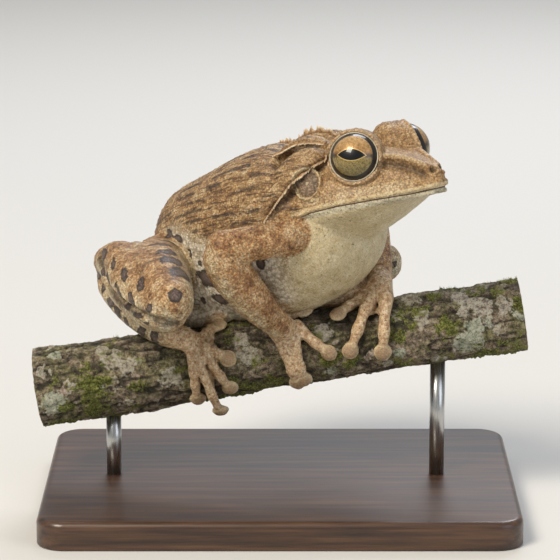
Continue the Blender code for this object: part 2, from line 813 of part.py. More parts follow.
def base_shape():
    """A flat slab with rounded corners and softened edges."""
    long, deep, thick = BASE_SIZE
    corner = 6.0
    outline = []
    for quarter in range(4):
        centre = (
            (long / 2 - corner) * (1 if quarter in (0, 3) else -1),
            (deep / 2 - corner) * (1 if quarter in (0, 1) else -1),
        )
        for step in range(5):
            a = math.radians(90 * quarter + 22.5 * step)
            outline.append((centre[0] + corner * math.cos(a), centre[1] + corner * math.sin(a)))
    outline = np.array(outline)
    rings = []
    for height, inset in ((0.0, 0.8), (0.8, 0.0), (thick - 1.0, 0.0), (thick - 0.3, 0.3), (thick, 1.0)):
        scale = 1 - 2 * inset / np.array([long, deep])
        ring = np.column_stack([outline * scale, np.full(len(outline), height - PERCH_HEIGHT)])
        rings.append(ring)
    low = np.array([0.0, 0.0, -PERCH_HEIGHT])
    return skin_rings(np.array(rings), low, low + np.array([0.0, 0.0, thick]))


# Colour, roughness and metallic of each node, by the start of its name
SURFACES = {
    "head": ((0.36, 0.22, 0.12), 0.55, 0.0),
    "lower_jaw": ((0.68, 0.56, 0.42), 0.5, 0.0),
    "torso": ((0.38, 0.24, 0.13), 0.55, 0.0),
    "eye": ((0.30, 0.18, 0.05), 0.08, 0.0),
    "tympanum": ((0.26, 0.18, 0.12), 0.4, 0.0),
    "upper_arm": ((0.40, 0.25, 0.14), 0.55, 0.0),
    "forearm": ((0.38, 0.22, 0.12), 0.55, 0.0),
    "hand": ((0.42, 0.31, 0.23), 0.42, 0.0),
    "thigh": ((0.42, 0.28, 0.17), 0.55, 0.0),
    "shank": ((0.40, 0.26, 0.15), 0.55, 0.0),
    "tarsus": ((0.46, 0.34, 0.23), 0.52, 0.0),
    "foot": ((0.38, 0.29, 0.25), 0.42, 0.0),
    "perch": ((0.16, 0.12, 0.08), 0.85, 0.0),
    "stand_base": ((0.10, 0.06, 0.035), 0.35, 0.0),
    "stand_rod": ((0.55, 0.55, 0.56), 0.28, 1.0),
}


def paint():
    for thing in bpy.data.objects:
        start = next(s for s in SURFACES if thing.name.startswith(s))
        colour, roughness, metallic = SURFACES[start]
        thing.data.materials.clear()
        thing.data.materials.append(
            material(f"{thing.name}_surface", colour, roughness, metallic)
        )


def copy_of(thing, name):
    twin = thing.copy()
    twin.data = thing.data.copy()
    twin.name = name
    bpy.context.scene.collection.objects.link(twin)
    return twin


def main():
    for thing in list(bpy.data.objects):
        bpy.data.objects.remove(thing)
    rng = np.random.default_rng(11)
    trunk = [torso_shape(), head_shape()]
    eyes, sockets = [], []
    for side in (-1, 1):
        centre, axes = eye_frame(side)
        eyes.append(ball(centre, axes, (EYE_RADIUS,) * 3, 14, 8))
        sockets.append(ball(centre, axes, (EYE_RADIUS + GAP,) * 3, 14, 8))
        trunk += [*eyelid_shapes(centre, axes), canthus_shape(side)]
        back, out, high = MOUTH_CORNER
        trunk.append(ball(in_head(back, side * out, high), HEAD_AXES, CORNER_SIZE, 10, 5))
        drum, facing = ear_frame(side)
        cup = (EAR_LONG + CUP_WIDTH, EAR_SHORT + CUP_WIDTH)
        trunk.append(hoop(drum + 0.1 * facing[2], facing[2], facing[0], cup, CUP_THICKNESS, 12, 4))
        for crest in CRESTS.values():
            if side in crest["sides"]:
                trunk.append(crest_shape(crest, side, rng))
    trunk += [lip_shape(0.7, 0.4), lip_shape(-0.7, 0.75)]
    head = unite("head", trunk)
    torso = copy_of(head, "torso")
    jaw = copy_of(head, "lower_jaw")
    carve(torso, [neck_half(False, GAP / 2)], "INTERSECT")
    carve(head, [neck_half(True, GAP / 2)], "INTERSECT")
    carve(jaw, [jaw_block(-GAP)], "INTERSECT")
    carve(head, [jaw_block(), *sockets])
    arms = [limb_shape("upper_arm_right", GAP), limb_shape("upper_arm_left", GAP)]
    carve(head, arms)
    carve(jaw, arms)
    for side, name in ((-1, "tympanum_right"), (1, "tympanum_left")):
        drum, facing = ear_frame(side)
        middle = drum - EAR_SUNK * facing[2]
        size = np.array([EAR_LONG, EAR_SHORT, EAR_DEEP])
        carve(head, [ball(middle, facing, size + GAP, 12, 6)])
        solid(name, ball(middle, facing, size, 12, 6))
        back, out, high = NOSTRIL
        pit = in_head(back, side * out, high)
        carve(head, [ball(pit, HEAD_AXES, NOSTRIL_SIZE, 8, 5)])
    carve(torso, [perch_shape(GAP)])
    for name, shape in zip(("eye_right", "eye_left"), eyes):
        solid(name, shape)
    for name in ("upper_arm_right", "upper_arm_left", "thigh_right", "thigh_left", "tarsus_left"):
        carve(torso, [limb_shape(name, GAP)])
    for name in ("hand_right", "hand_left", "foot_left"):
        foot = FEET[name]
        digits = [digit_shapes(foot, i, GAP) for i in range(len(foot["digits"]))]
        carve(torso, [sole_shape(foot, GAP), *sum(digits, [])])
    chain = {
        "upper_arm": "forearm",
        "forearm": None,
        "thigh": "shank",
        "shank": "tarsus",
        "tarsus": None,
    }
    for side in ("right", "left"):
        for bone, nearer in chain.items():
            limb = solid(f"{bone}_{side}", limb_shape(f"{bone}_{side}"))
            if nearer:
                carve(limb, [limb_shape(f"{nearer}_{side}", GAP)])
                if bone == "thigh":
                    carve(limb, [limb_shape(f"tarsus_{side}", GAP)])
            else:
                end = "hand" if bone == "forearm" else "foot"
                carve(limb, [sole_shape(FEET[f"{end}_{side}"], GAP), perch_shape(GAP)])
    for name, foot in FEET.items():
        shapes = [sole_shape(foot)]
        for index in range(len(foot["digits"])):
            shapes += digit_shapes(foot, index)
        for index in range(len(foot["digits"]) - 1):
            shapes.append(web_shape(foot, index))
        unite(name, shapes)
    solid("perch", perch_shape())
    solid("stand_base", base_shape())
    for name in ROD_OFFSETS:
        rod = solid(name, rod_shape(name))
        carve(rod, [perch_shape(GAP)])
    paint()


main()
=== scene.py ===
# Shapes are in millimetres from the perch point, the middle of the branch, until a mesh is made.
import math

import bpy
import numpy as np
from mathutils import Matrix, Vector
from mathutils.bvhtree import BVHTree


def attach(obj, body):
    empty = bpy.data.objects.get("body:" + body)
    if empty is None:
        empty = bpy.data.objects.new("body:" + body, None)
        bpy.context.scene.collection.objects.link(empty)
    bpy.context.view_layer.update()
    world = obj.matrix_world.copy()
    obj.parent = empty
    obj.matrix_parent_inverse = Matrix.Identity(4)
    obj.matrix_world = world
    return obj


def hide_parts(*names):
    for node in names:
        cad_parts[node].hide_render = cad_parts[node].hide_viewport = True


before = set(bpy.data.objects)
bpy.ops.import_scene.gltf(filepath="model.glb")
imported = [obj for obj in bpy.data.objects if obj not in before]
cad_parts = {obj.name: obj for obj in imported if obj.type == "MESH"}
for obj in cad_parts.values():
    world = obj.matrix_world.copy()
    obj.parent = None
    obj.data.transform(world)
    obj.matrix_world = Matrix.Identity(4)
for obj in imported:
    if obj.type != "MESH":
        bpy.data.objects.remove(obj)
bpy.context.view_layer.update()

millimetre = 0.001
perchHeight = 33.0
scaleUp = Matrix.Scale(1 / millimetre, 4)

# The stance, the same as in the solids
stance = {
    "bodyYaw": -38.0,
    "headYaw": -43.0,
    "headPitch": 13.5,
    "vent": (-25.9, 24.4, 0.0),
    "snout": (33.0, -21.6, 41.8),
    "branchSlope": 9.07,
    "branchReach": 52.0,
    "branchRadius": 8.1,
    "branchTaper": 0.0085,
}


def unit(v):
    v = np.asarray(v, float)
    return v / np.maximum(np.linalg.norm(v, axis=-1, keepdims=True), 1e-12)


def step(x, low, high):
    # A soft step from 0 at low to 1 at high
    t = np.clip((np.asarray(x, float) - low) / (high - low), 0, 1)
    return t * t * (3 - 2 * t)


def bell(x, width):
    # A bell curve of height 1 about x = 0
    return np.exp(-((np.asarray(x, float) / width) ** 2))


def axesOf(yaw, pitch):
    # Forward, left and up of a part that faces along yaw and is pitched up, in degrees
    a, b = math.radians(yaw), math.radians(pitch)
    forward = np.array([math.cos(a) * math.cos(b), math.sin(a) * math.cos(b), math.sin(b)])
    left = np.array([-math.sin(a), math.cos(a), 0.0])
    return np.array([forward, left, np.cross(forward, left)])


bodyAxes = axesOf(stance["bodyYaw"], 0.0)
headAxes = axesOf(stance["headYaw"], stance["headPitch"])
vent = np.array(stance["vent"])
snout = np.array(stance["snout"])
slope = math.radians(stance["branchSlope"])
branchAxes = np.array(
    [[math.cos(slope), 0, math.sin(slope)], [0, -1, 0], [-math.sin(slope), 0, math.cos(slope)]]
)


def inBody(places):
    # Points from (ahead of the vent, left, height)
    return vent + np.asarray(places, float) @ bodyAxes


def inHead(places):
    # Points from (back from the snout tip, left, up)
    return snout + np.asarray(places, float) * (-1, 1, 1) @ headAxes


def toBody(points):
    return (points - vent) @ bodyAxes.T


def toHead(points):
    return (points - snout) @ headAxes.T * (-1, 1, 1)


def onBranch(places):
    # Points from (along the branch, degrees round from its top to the front, lift off the bark)
    along, around, lift = np.moveaxis(np.asarray(places, float), -1, 0)
    reach = stance["branchRadius"] - stance["branchTaper"] * along + lift
    turn = np.radians(around)
    return np.stack([along, reach * np.sin(turn), reach * np.cos(turn)], -1) @ branchAxes


def offBark(path):
    # The direction straight off the bark at each point of a path
    return path - np.outer(path @ branchAxes[0], branchAxes[0])


# Noise in numpy


def hashed(cells, seed):
    # A repeatable random number from 0 to 1 for each whole-number cell
    a, b, c = (cells[..., i].astype(np.int64).astype(np.uint64) for i in range(3))
    mixed = a * np.uint64(73856093) ^ b * np.uint64(19349663) ^ c * np.uint64(83492791)
    mixed ^= np.uint64(seed * 2654435761 + 97)
    mixed = (mixed ^ (mixed >> np.uint64(33))) * np.uint64(0xFF51AFD7ED558CCD)
    mixed = (mixed ^ (mixed >> np.uint64(29))) * np.uint64(0xC4CEB9FE1A85EC53)
    return ((mixed ^ (mixed >> np.uint64(32))) & np.uint64(0xFFFFFF)).astype(float) / 0xFFFFFF


def noise(points, size, seed=0, octaves=1):
    # Smooth noise from -1 to 1: cube corners get random values, blended with a fifth-power ease;
    # each further octave is half as large and half as strong. size is the lump size in mm.
    total, weight, sum_ = 0.0, 1.0, 0.0
    for octave in range(octaves):
        scaled = points / np.asarray(size, float) * 2**octave
        cell = np.floor(scaled)
        t = scaled - cell
        t = t * t * t * (t * (t * 6 - 15) + 10)
        value = 0.0
        for corner in range(8):
            shift = np.array([corner & 1, corner >> 1 & 1, corner >> 2 & 1])
            share = np.prod(np.where(shift, t, 1 - t), -1)
            value = value + share * hashed(cell + shift, seed + octave)
        total = total + weight * (2 * value - 1)
        sum_ += weight
        weight *= 0.5
    return total / sum_


def cells(points, size, seed=0):
    # Distance to the nearest random cell point, in cell sizes, and that cell's random number
    scaled = points / np.asarray(size, float)
    base = np.floor(scaled)
    best, tag = np.full(len(points), 9.0), np.zeros(len(points))
    for i in range(27):
        here = base + np.array([i % 3 - 1, i // 3 % 3 - 1, i // 9 - 1])
        spot = here + np.stack([hashed(here, seed + k) for k in (11, 12, 13)], -1)
        far = np.linalg.norm(spot - scaled, axis=-1)
        near = far < best
        best = np.where(near, far, best)
        tag = np.where(near, hashed(here, seed + 14), tag)
    return best, tag


# Surfaces


def smoothCurve(keys, perSpan):
    # A Catmull-Rom curve through the keys
    keys = np.asarray(keys, float)
    padded = np.vstack([2 * keys[0] - keys[1], keys, 2 * keys[-1] - keys[-2]])
    t = (np.arange(perSpan) / perSpan)[:, None]
    a, b, c, d = (padded[i : len(padded) - 3 + i, None] for i in range(4))
    spans = b + 0.5 * t * (c - a) + t**2 * (a - 2.5 * b + 2 * c - 0.5 * d)
    spans = spans + t**3 * (-0.5 * a + 1.5 * b - 1.5 * c + 0.5 * d)
    return np.vstack([spans.reshape(-1, keys.shape[1]), keys[-1:]])


def tube(rings, first=None, last=None):
    # Points, quads and triangles of a tube through rings of points, closed by a pole at each end
    count, sides = rings.shape[:2]
    r, s = np.meshgrid(np.arange(count - 1), np.arange(sides), indexing="ij")
    a, b = r * sides + s, r * sides + (s + 1) % sides
    quads = np.stack([a, b, b + sides, a + sides], -1).reshape(-1, 4)
    points, tris = [rings.reshape(-1, 3)], []
    s = np.arange(sides)
    if first is not None:
        points.append(np.reshape(first, (1, 3)))
        tris.append(np.stack([np.full(sides, count * sides), (s + 1) % sides, s], -1))
    if last is not None:
        low = (count - 1) * sides
        pole = count * sides + (first is not None)
        points.append(np.reshape(last, (1, 3)))
        tris.append(np.stack([np.full(sides, pole), low + s, low + (s + 1) % sides], -1))
    return np.vstack(points), quads, np.vstack(tris) if tris else np.zeros((0, 3), int)


def joined(shapes):
    # Several (points, quads, triangles) as one
    points, quads, tris, base = [], [], [], 0
    for p, q, t in shapes:
        points.append(p)
        quads.append(q + base)
        tris.append(t + base)
        base += len(p)
    return np.vstack(points), np.vstack(quads), np.vstack(tris)


def sweep(keys, up, sides=28, perSpan=8, cap=(1.0, 1.0), square=2.0, capRings=5):
    # A tube of superellipse rings along a Catmull-Rom path of (x, y, z, half width, half height),
    # with a dome at each end; up is a direction or works it out from the path.
    curve = smoothCurve(keys, perSpan)
    path, wide, high = curve[:, :3], curve[:, 3], curve[:, 4]
    along = unit(np.gradient(path, axis=0))
    above = up(path) if callable(up) else np.broadcast_to(np.asarray(up, float), along.shape)
    side = unit(np.cross(above, along))
    top = np.cross(along, side)
    start, end = min(wide[0], high[0]) * cap[0], min(wide[-1], high[-1]) * cap[1]
    dome = np.radians(90 * np.arange(capRings, 0, -1) / (capRings + 1))
    index = np.concatenate([np.zeros(capRings, int), np.arange(len(path)), np.full(capRings, -1)])
    shift = np.concatenate([-start * np.sin(dome), np.zeros(len(path)), end * np.sin(dome[::-1])])
    scale = np.concatenate([np.cos(dome), np.ones(len(path)), np.cos(dome[::-1])])
    angle = 2 * math.pi * np.arange(sides) / sides
    across = np.sign(np.cos(angle)) * np.abs(np.cos(angle)) ** (2 / square)
    upward = np.sign(np.sin(angle)) * np.abs(np.sin(angle)) ** (2 / square)
    middle = path[index] + along[index] * shift[:, None]
    rings = middle[:, None] + (
        across[None, :, None] * (wide[index] * scale)[:, None, None] * side[index][:, None]
        + upward[None, :, None] * (high[index] * scale)[:, None, None] * top[index][:, None]
    )
    return tube(rings, path[0] - along[0] * start, path[-1] + along[-1] * end)


def ball(centre, axes, radii, sides=40, rings=24):
    # An ellipsoid with half axes along the given directions
    tilt = math.pi * np.arange(1, rings) / rings
    angle = 2 * math.pi * np.arange(sides) / sides
    loop = np.stack(
        [
            np.sin(tilt)[:, None] * np.cos(angle),
            np.sin(tilt)[:, None] * np.sin(angle),
            np.broadcast_to(-np.cos(tilt)[:, None], (rings - 1, sides)),
        ],
        -1,
    )
    axes, radii = np.asarray(axes, float), np.asarray(radii, float)
    tip = radii[2] * axes[2]
    return tube(centre + (loop * radii) @ axes, centre - tip, centre + tip)


def hoop(centre, normal, first, radii, thick, sides=96, rounds=16):
    # A torus round an ellipse; thick is the tube's radius, one number or (across, up)
    across, up = thick if isinstance(thick, tuple) else (thick, thick)
    second = np.cross(normal, first)
    turn = 2 * math.pi * np.arange(sides) / sides
    wrap = 2 * math.pi * np.arange(rounds) / rounds
    ray = np.outer(np.cos(turn) * radii[0], first) + np.outer(np.sin(turn) * radii[1], second)
    out = unit(ray)
    rings = centre + ray[:, None] + across * np.cos(wrap)[None, :, None] * out[:, None]
    rings = rings + up * np.sin(wrap)[None, :, None] * normal
    rings = np.concatenate([rings, rings[:1]])
    points, quads, tris = tube(rings)
    count = sides * rounds
    return points[:count], quads % count, tris


def makeMesh(name, shape, body="root"):
    # A smooth-shaded object in metres from a shape in millimetres
    points, quads, tris = shape
    mesh = bpy.data.meshes.new(name)
    mesh.vertices.add(len(points))
    lifted = (points + (0, 0, perchHeight)) * millimetre
    mesh.vertices.foreach_set("co", lifted.astype(np.float32).ravel())
    loops = np.concatenate([quads.ravel(), tris.ravel()]).astype(np.int32)
    sizes = np.concatenate([np.full(len(quads), 4), np.full(len(tris), 3)])
    mesh.loops.add(len(loops))
    mesh.loops.foreach_set("vertex_index", loops)
    mesh.polygons.add(len(sizes))
    starts = np.concatenate([[0], np.cumsum(sizes)[:-1]]).astype(np.int32)
    mesh.polygons.foreach_set("loop_start", starts)
    mesh.polygons.foreach_set("use_smooth", np.ones(len(sizes), bool))
    mesh.update(calc_edges=True)
    mesh.validate()
    thing = bpy.data.objects.new(name, mesh)
    bpy.context.scene.collection.objects.link(thing)
    if body:
        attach(thing, body)
    return thing


def facedOut(shape):
    # The same shape with its faces turned outward, by the sign of its volume
    points, quads, tris = shape
    corners = np.vstack([quads[:, [0, 1, 2]], quads[:, [0, 2, 3]], tris])
    a, b, c = (points[corners[:, i]] for i in range(3))
    if np.einsum("ij,ij->i", a, np.cross(b, c)).sum() < 0:
        return points, quads[:, ::-1], tris[:, ::-1]
    return shape


def setValues(thing, name, values):
    # Stores one number per vertex under a name that materials read
    layer = thing.data.attributes.new(name, "FLOAT", "POINT")
    layer.data.foreach_set("value", np.asarray(values, np.float32))


def meshArrays(mesh):
    # Vertex places, edges, and faces as (quads, triangles)
    def read(items, field, width=1, kind=np.int32):
        values = np.empty(len(items) * width, kind)
        items.foreach_get(field, values)
        return values

    points = read(mesh.vertices, "co", 3, np.float32).reshape(-1, 3).astype(float)
    edges = read(mesh.edges, "vertices", 2).reshape(-1, 2)
    sizes, starts = read(mesh.polygons, "loop_total"), read(mesh.polygons, "loop_start")
    loops = read(mesh.loops, "vertex_index")
    quads = loops[starts[sizes == 4][:, None] + np.arange(4)]
    tris = loops[starts[sizes == 3][:, None] + np.arange(3)]
    return points, edges, quads, tris


def evaluated(thing):
    # A new mesh of an object with its modifiers done
    graph = bpy.context.evaluated_depsgraph_get()
    return bpy.data.meshes.new_from_object(thing.evaluated_get(graph))


def relaxed(points, edges, rounds, weight=1.0, grow=0.53):
    # Pulls each vertex half way to the mean of its neighbours, and with grow back out again
    count = len(points)
    degree = np.bincount(edges.ravel(), minlength=count)[:, None]
    a, b = edges[:, 0], edges[:, 1]
    for _ in range(rounds):
        for share in (0.5, -grow) if grow else (0.5,):
            total = np.empty_like(points)
            for k in range(3):
                total[:, k] = np.bincount(a, points[b, k], count)
                total[:, k] += np.bincount(b, points[a, k], count)
            points = points + share * np.reshape(weight, (-1, 1)) * (total / degree - points)
    return points


def normalsOf(points, quads, tris):
    # Area-weighted vertex normals
    total = np.zeros_like(points)
    for faces in (quads, tris):
        if len(faces):
            last = faces[:, -1]
            cross = np.cross(
                points[faces[:, 2]] - points[faces[:, 0]], points[last] - points[faces[:, 1]]
            )
            if faces.shape[1] == 3:
                cross = np.cross(
                    points[faces[:, 1]] - points[faces[:, 0]], points[last] - points[faces[:, 0]]
                )
            for corner in range(faces.shape[1]):
                for k in range(3):
                    total[:, k] += np.bincount(faces[:, corner], cross[:, k], len(points))
    return unit(total)


# The skin's own shape

body = {
    # ahead of the vent, height of the middle, half width, half height
    "spine": (
        (0.5, 15.5, 4.0, 4.0), (5.0, 15.2, 8.8, 9.6), (12.0, 16.9, 13.2, 15.2),
        (24.0, 21.3, 16.4, 17.2), (36.0, 26.6, 17.0, 18.0), (45.0, 31.0, 15.2, 15.4),
        (50.0, 35.2, 11.8, 7.6),
    ),
    "fineness": 0.23,
    "quickFineness": 0.42,
    "triangleLimit": 192000,
    "headCare": 6e-8,
}

head = {
    # back, half width of the crown, crown and edge heights, half width and height of the lip,
    # half width of the jaw, height of the chin
    "stations": (
        (0.3, 1.2, 1.4, 0.9, 1.7, -1.7, 1.1, -2.5), (1.8, 1.9, 3.0, 2.4, 3.2, -1.9, 2.5, -2.9),
        (4.6, 2.6, 4.4, 3.9, 5.3, -2.0, 4.6, -3.4), (9.0, 4.2, 6.2, 6.0, 7.9, -2.0, 7.4, -4.2),
        (13.0, 5.5, 7.8, 7.6, 10.2, -2.0, 9.7, -6.2), (18.0, 7.0, 9.2, 8.4, 13.0, -2.1, 12.2, -8.8),
        (24.0, 8.4, 10.4, 8.0, 15.2, -2.4, 13.6, -11.2),
        (30.0, 9.4, 11.0, 7.6, 15.8, -3.2, 14.2, -13.4),
        (36.0, 10.0, 10.8, 7.0, 15.6, -4.6, 14.6, -16.5),
    ),
    "canthus": ((12.6, 6.3, 6.2), (9.7, 4.8, 6.0), (7.2, 3.4, 5.3), (4.8, 2.3, 4.1), (2.4, 1.5, 2.7)),
    "nostril": (1.2, 1.2, 1.9),
    "jawBack": 24.0,
    "neck": 33.5,
}

eye = {
    "radius": 5.35,
    "place": (15.7, 7.6, 6.7),
    "forward": 33.0,
    "lift": 12.0,
    "lidRadius": 4.85,
    "opening": 5.14,
    "pupilTilt": -2.5,
}

ear = {"place": (24.3, 13.9, 3.2), "long": 2.7, "short": 2.5}

# Serrated crests: the way is (ahead of the vent, to the side, height). The skin is a step higher
# on one side of the way, with a hollow on the side that "hollow" points to. "teeth" is where the
# blade points, and "folds" are the rolls of skin under it: how deep, how far back, and the radius.
crests = {
    "overEar": {
        "way": (
            (51.6, 7.6, 44.6), (50.2, 9.8, 43.6), (48.4, 11.4, 42.0), (46.4, 13.2, 39.8),
            (44.6, 14.6, 37.0), (42.6, 15.8, 34.0), (41.2, 16.4, 31.0),
        ),
        "lean": (0.85, 0.5),
        "teeth": (0.5, 0.72, -0.48),
        "folds": ((1.15, 0.0, 1.05), (2.6, 1.9, 2.6), (4.4, 4.0, 3.4)),
        "hollow": (0.62, 0.2, -0.75),
        "sides": (-1, 1),
        "end": 1.0,
        "step": 0.7,
        "height": 1.0,
        "spacing": 0.85,
    },
    "upper": {
        "way": (
            (49.0, 5.6, 46.4), (46.0, 6.2, 46.9), (43.0, 7.0, 46.4), (39.8, 7.9, 45.1),
            (36.0, 8.6, 43.1), (30.4, 8.8, 40.4),
        ),
        "lean": (0.4, 0.92),
        "teeth": (0.05, 0.93, -0.3),
        "folds": ((1.15, 0.0, 1.05), (2.8, 1.8, 2.3)),
        "hollow": (0.05, 0.8, -0.6),
        "sides": (-1, 1),
        "end": 0.74,
        "step": 0.5,
        "height": 1.0,
        "spacing": 1.05,
    },
    "middle": {
        "way": (
            (49.4, 0.0, 47.7), (46.0, 0.0, 47.9), (43.0, 0.0, 47.5), (40.0, 0.0, 46.3),
            (36.5, 0.0, 44.9), (33.0, 0.0, 43.4),
        ),
        "lean": (0.0, 1.0),
        "teeth": (0.0, 0.0, 1.0),
        "hollow": None,
        "sides": (1,),
        "end": 1.0,
        "step": 1.1,
        "height": 1.75,
        "spacing": 1.15,
    },
}

# The upper side of every bone, and the bones: (x, y, z, half width, half height)
boneTop = (0.05, 0.1, 1.0)
limbs = {
    "upper_arm_right": (
        (8.0, -8.0, 30.0, 3.6, 3.8), (2.0, -15.5, 28.5, 3.8, 3.8), (-6.0, -19.0, 27.5, 3.7, 3.7),
        (-11.6, -20.0, 26.6, 3.7, 3.9),
    ),
    "forearm_right": (
        (-12.3, -20.0, 25.6, 3.9, 3.9), (-10.2, -19.0, 21.5, 4.5, 4.4),
        (-6.0, -16.4, 15.5, 4.3, 4.0), (-1.9, -13.0, 10.3, 3.2, 3.1), (0.4, -10.4, 7.8, 2.9, 2.9),
    ),
    "upper_arm_left": (
        (17.0, -2.0, 31.0, 3.4, 3.6), (19.5, 6.0, 29.5, 3.5, 3.5), (20.0, 13.0, 27.6, 3.4, 3.4),
        (19.8, 19.0, 26.2, 3.3, 3.5),
    ),
    "forearm_left": (
        (19.6, 20.0, 25.2, 3.4, 3.4), (19.9, 17.0, 22.4, 3.7, 3.7), (20.5, 10.5, 18.0, 3.5, 3.5),
        (21.2, 3.5, 13.6, 2.8, 2.8), (21.6, 0.6, 11.8, 2.6, 2.6),
    ),
    "thigh_right": (
        (-24.6, 9.5, 16.4, 6.8, 7.0), (-25.8, 2.5, 16.8, 7.0, 7.1), (-25.4, -8.0, 17.4, 6.7, 6.9),
        (-23.4, -18.0, 16.8, 5.7, 5.9), (-21.8, -25.0, 16.6, 4.3, 4.5),
    ),
    "shank_right": (
        (-22.6, -25.4, 14.8, 4.2, 4.2), (-25.6, -19.0, 14.6, 5.4, 5.2),
        (-30.2, -9.0, 16.8, 5.9, 5.9), (-33.6, 0.5, 18.8, 4.9, 5.0), (-36.4, 6.5, 18.0, 3.4, 3.5),
    ),
    "tarsus_right": (
        (-36.4, 7.6, 15.4, 2.9, 3.0), (-35.6, 5.6, 12.6, 3.1, 3.1), (-32.6, 1.6, 9.6, 3.1, 3.0),
        (-28.4, -3.6, 7.1, 2.9, 2.8), (-24.0, -7.0, 5.6, 2.7, 2.7), (-20.2, -8.4, 4.9, 2.6, 2.6),
    ),
    "thigh_left": (
        (-8.0, 23.2, 19.9, 7.2, 7.5), (-1.0, 24.4, 19.2, 7.4, 7.6), (10.0, 25.0, 17.0, 6.2, 6.4),
        (19.0, 24.6, 14.8, 4.8, 5.0), (22.6, 24.2, 13.8, 4.2, 4.3),
    ),
    "shank_left": (
        (21.6, 25.6, 12.0, 4.0, 4.0), (15.0, 28.0, 11.8, 5.0, 5.0), (5.0, 30.0, 13.0, 5.5, 5.4),
        (-5.0, 31.0, 14.6, 4.2, 4.3), (-9.6, 31.2, 15.4, 3.3, 3.4),
    ),
    "tarsus_left": (
        (-9.8, 30.2, 13.8, 2.9, 3.0), (-6.0, 25.6, 11.2, 3.1, 3.0), (-2.0, 19.0, 8.6, 2.8, 2.7),
        (1.0, 12.4, 6.4, 2.6, 2.6),
    ),
}

# Muscle that fills the hollow between the right thigh and shank, loose skin under the vent, and
# the crease under thigh and shank
calf = (
    (-30.4, 3.0, 18.2, 4.0, 5.0), (-29.4, -3.0, 18.5, 4.6, 5.4), (-27.6, -11.0, 18.0, 4.6, 5.4),
    (-25.0, -18.0, 16.8, 4.4, 5.4), (-23.2, -22.0, 16.0, 3.8, 5.0),
)
groin = (
    (-22.5, 0.5, 8.8, 2.6, 2.4), (-18.5, 0.8, 7.4, 3.0, 2.5), (-14.5, 0.8, 7.4, 3.0, 2.5),
    (-11.0, 0.5, 8.6, 2.6, 2.2),
)
crease = (
    (-38.2, 1.5, 20.4), (-38.0, -0.8, 19.7), (-37.2, -5.4, 18.6), (-36.3, -8.3, 17.1),
    (-34.9, -11.9, 15.9), (-33.5, -15.0, 15.1), (-31.6, -18.6, 14.5), (-29.7, -22.1, 14.2),
    (-27.8, -24.8, 13.9), (-25.4, -27.4, 13.6), (-23.3, -28.0, 13.2), (-21.3, -27.1, 12.7),
)

# Digits: root (along the branch, degrees round to the front), pad (the same and lift)
feet = {
    "foot_right": {
        "heel": (-18.8, 46.0, 3.3),
        "sole": (-16.6, 55.0, 1.3),
        "heelSize": 2.3,
        "soleSize": (2.9, 1.0),
        "digits": (
            ((-16.0, 44.0), (-11.9, 22.0, 1.2)), ((-14.9, 56.0), (-10.7, 75.0, 1.2)),
            ((-15.4, 62.0), (-11.35, 117.0, 1.2)), ((-17.0, 66.0), (-14.2, 145.0, 3.2)),
            ((-18.2, 62.0), (-18.5, 128.0, 1.2)),
        ),
        "pad": 1.8,
        "shaft": 1.02,
        "webs": 0.8,
    },
    "foot_left": {
        "heel": (2.6, -62.0, 4.4),
        "sole": (6.6, -44.0, 1.3),
        "heelSize": 2.3,
        "soleSize": (2.9, 1.0),
        "digits": (
            ((8.0, -36.0), (11.0, -22.0, 1.2)), ((8.4, -44.0), (14.0, -50.0, 1.2)),
            ((8.0, -52.0), (14.5, -84.0, 1.2)), ((6.6, -56.0), (10.5, -116.0, 1.4)),
            ((5.0, -54.0), (6.0, -108.0, 1.2)),
        ),
        "pad": 1.8,
        "shaft": 1.02,
        "webs": 0.8,
    },
    "hand_right": {
        "heel": (0.1, 44.0, 4.4),
        "sole": (2.6, 58.0, 2.1),
        "heelSize": 2.6,
        "soleSize": (3.3, 1.8),
        "digits": (
            ((0.8, 30.0), (6.4, 20.0, 1.3)), ((4.4, 48.0), (10.4, 88.5, 1.3)),
            ((3.4, 66.0), (4.3, 121.5, 1.5)), ((1.2, 66.0), (3.0, 125.0, 1.5)),
        ),
        "pad": 1.92,
        "shaft": 1.2,
        "webs": 0.35,
    },
    "hand_left": {
        "heel": (23.4, -3.0, 3.4),
        "sole": (21.8, 14.0, 2.1),
        "heelSize": 2.5,
        "soleSize": (3.4, 1.7),
        "digits": (
            ((20.0, 2.0), (9.6, -2.0, 1.3)), ((20.2, 10.0), (13.5, 36.0, 1.3)),
            ((20.8, 22.0), (14.9, 90.0, 1.3)), ((24.0, 26.0), (21.6, 99.0, 1.3)),
        ),
        "pad": 1.92,
        "shaft": 1.2,
        "webs": 0.35,
    },
}


def eyeFrame(side):
    # Centre and axes of an eyeball: ahead, up and out through the pupil
    centre = inHead(np.array(eye["place"]) * (1, side, 1))
    turn, lift = math.radians(eye["forward"]), math.radians(eye["lift"])
    forward, left, up = headAxes
    flat = math.cos(turn) * side * left + math.sin(turn) * forward
    out = unit(math.cos(lift) * flat + math.sin(lift) * up)
    ahead = unit(forward - np.dot(forward, out) * out)
    above = unit(up - np.dot(up, out) * out - np.dot(up, ahead) * ahead)
    return centre, np.array([ahead, above, out])


def earFrame(side):
    # Centre and axes of an eardrum: long, short and out
    centre = inHead(np.array(ear["place"]) * (1, side, 1))
    forward, left, up = headAxes
    out = unit(side * left + 0.25 * forward + 0.3 * up)
    long = unit(up + 0.28 * forward - np.dot(up + 0.28 * forward, out) * out)
    return centre, np.array([long, np.cross(out, long), out])


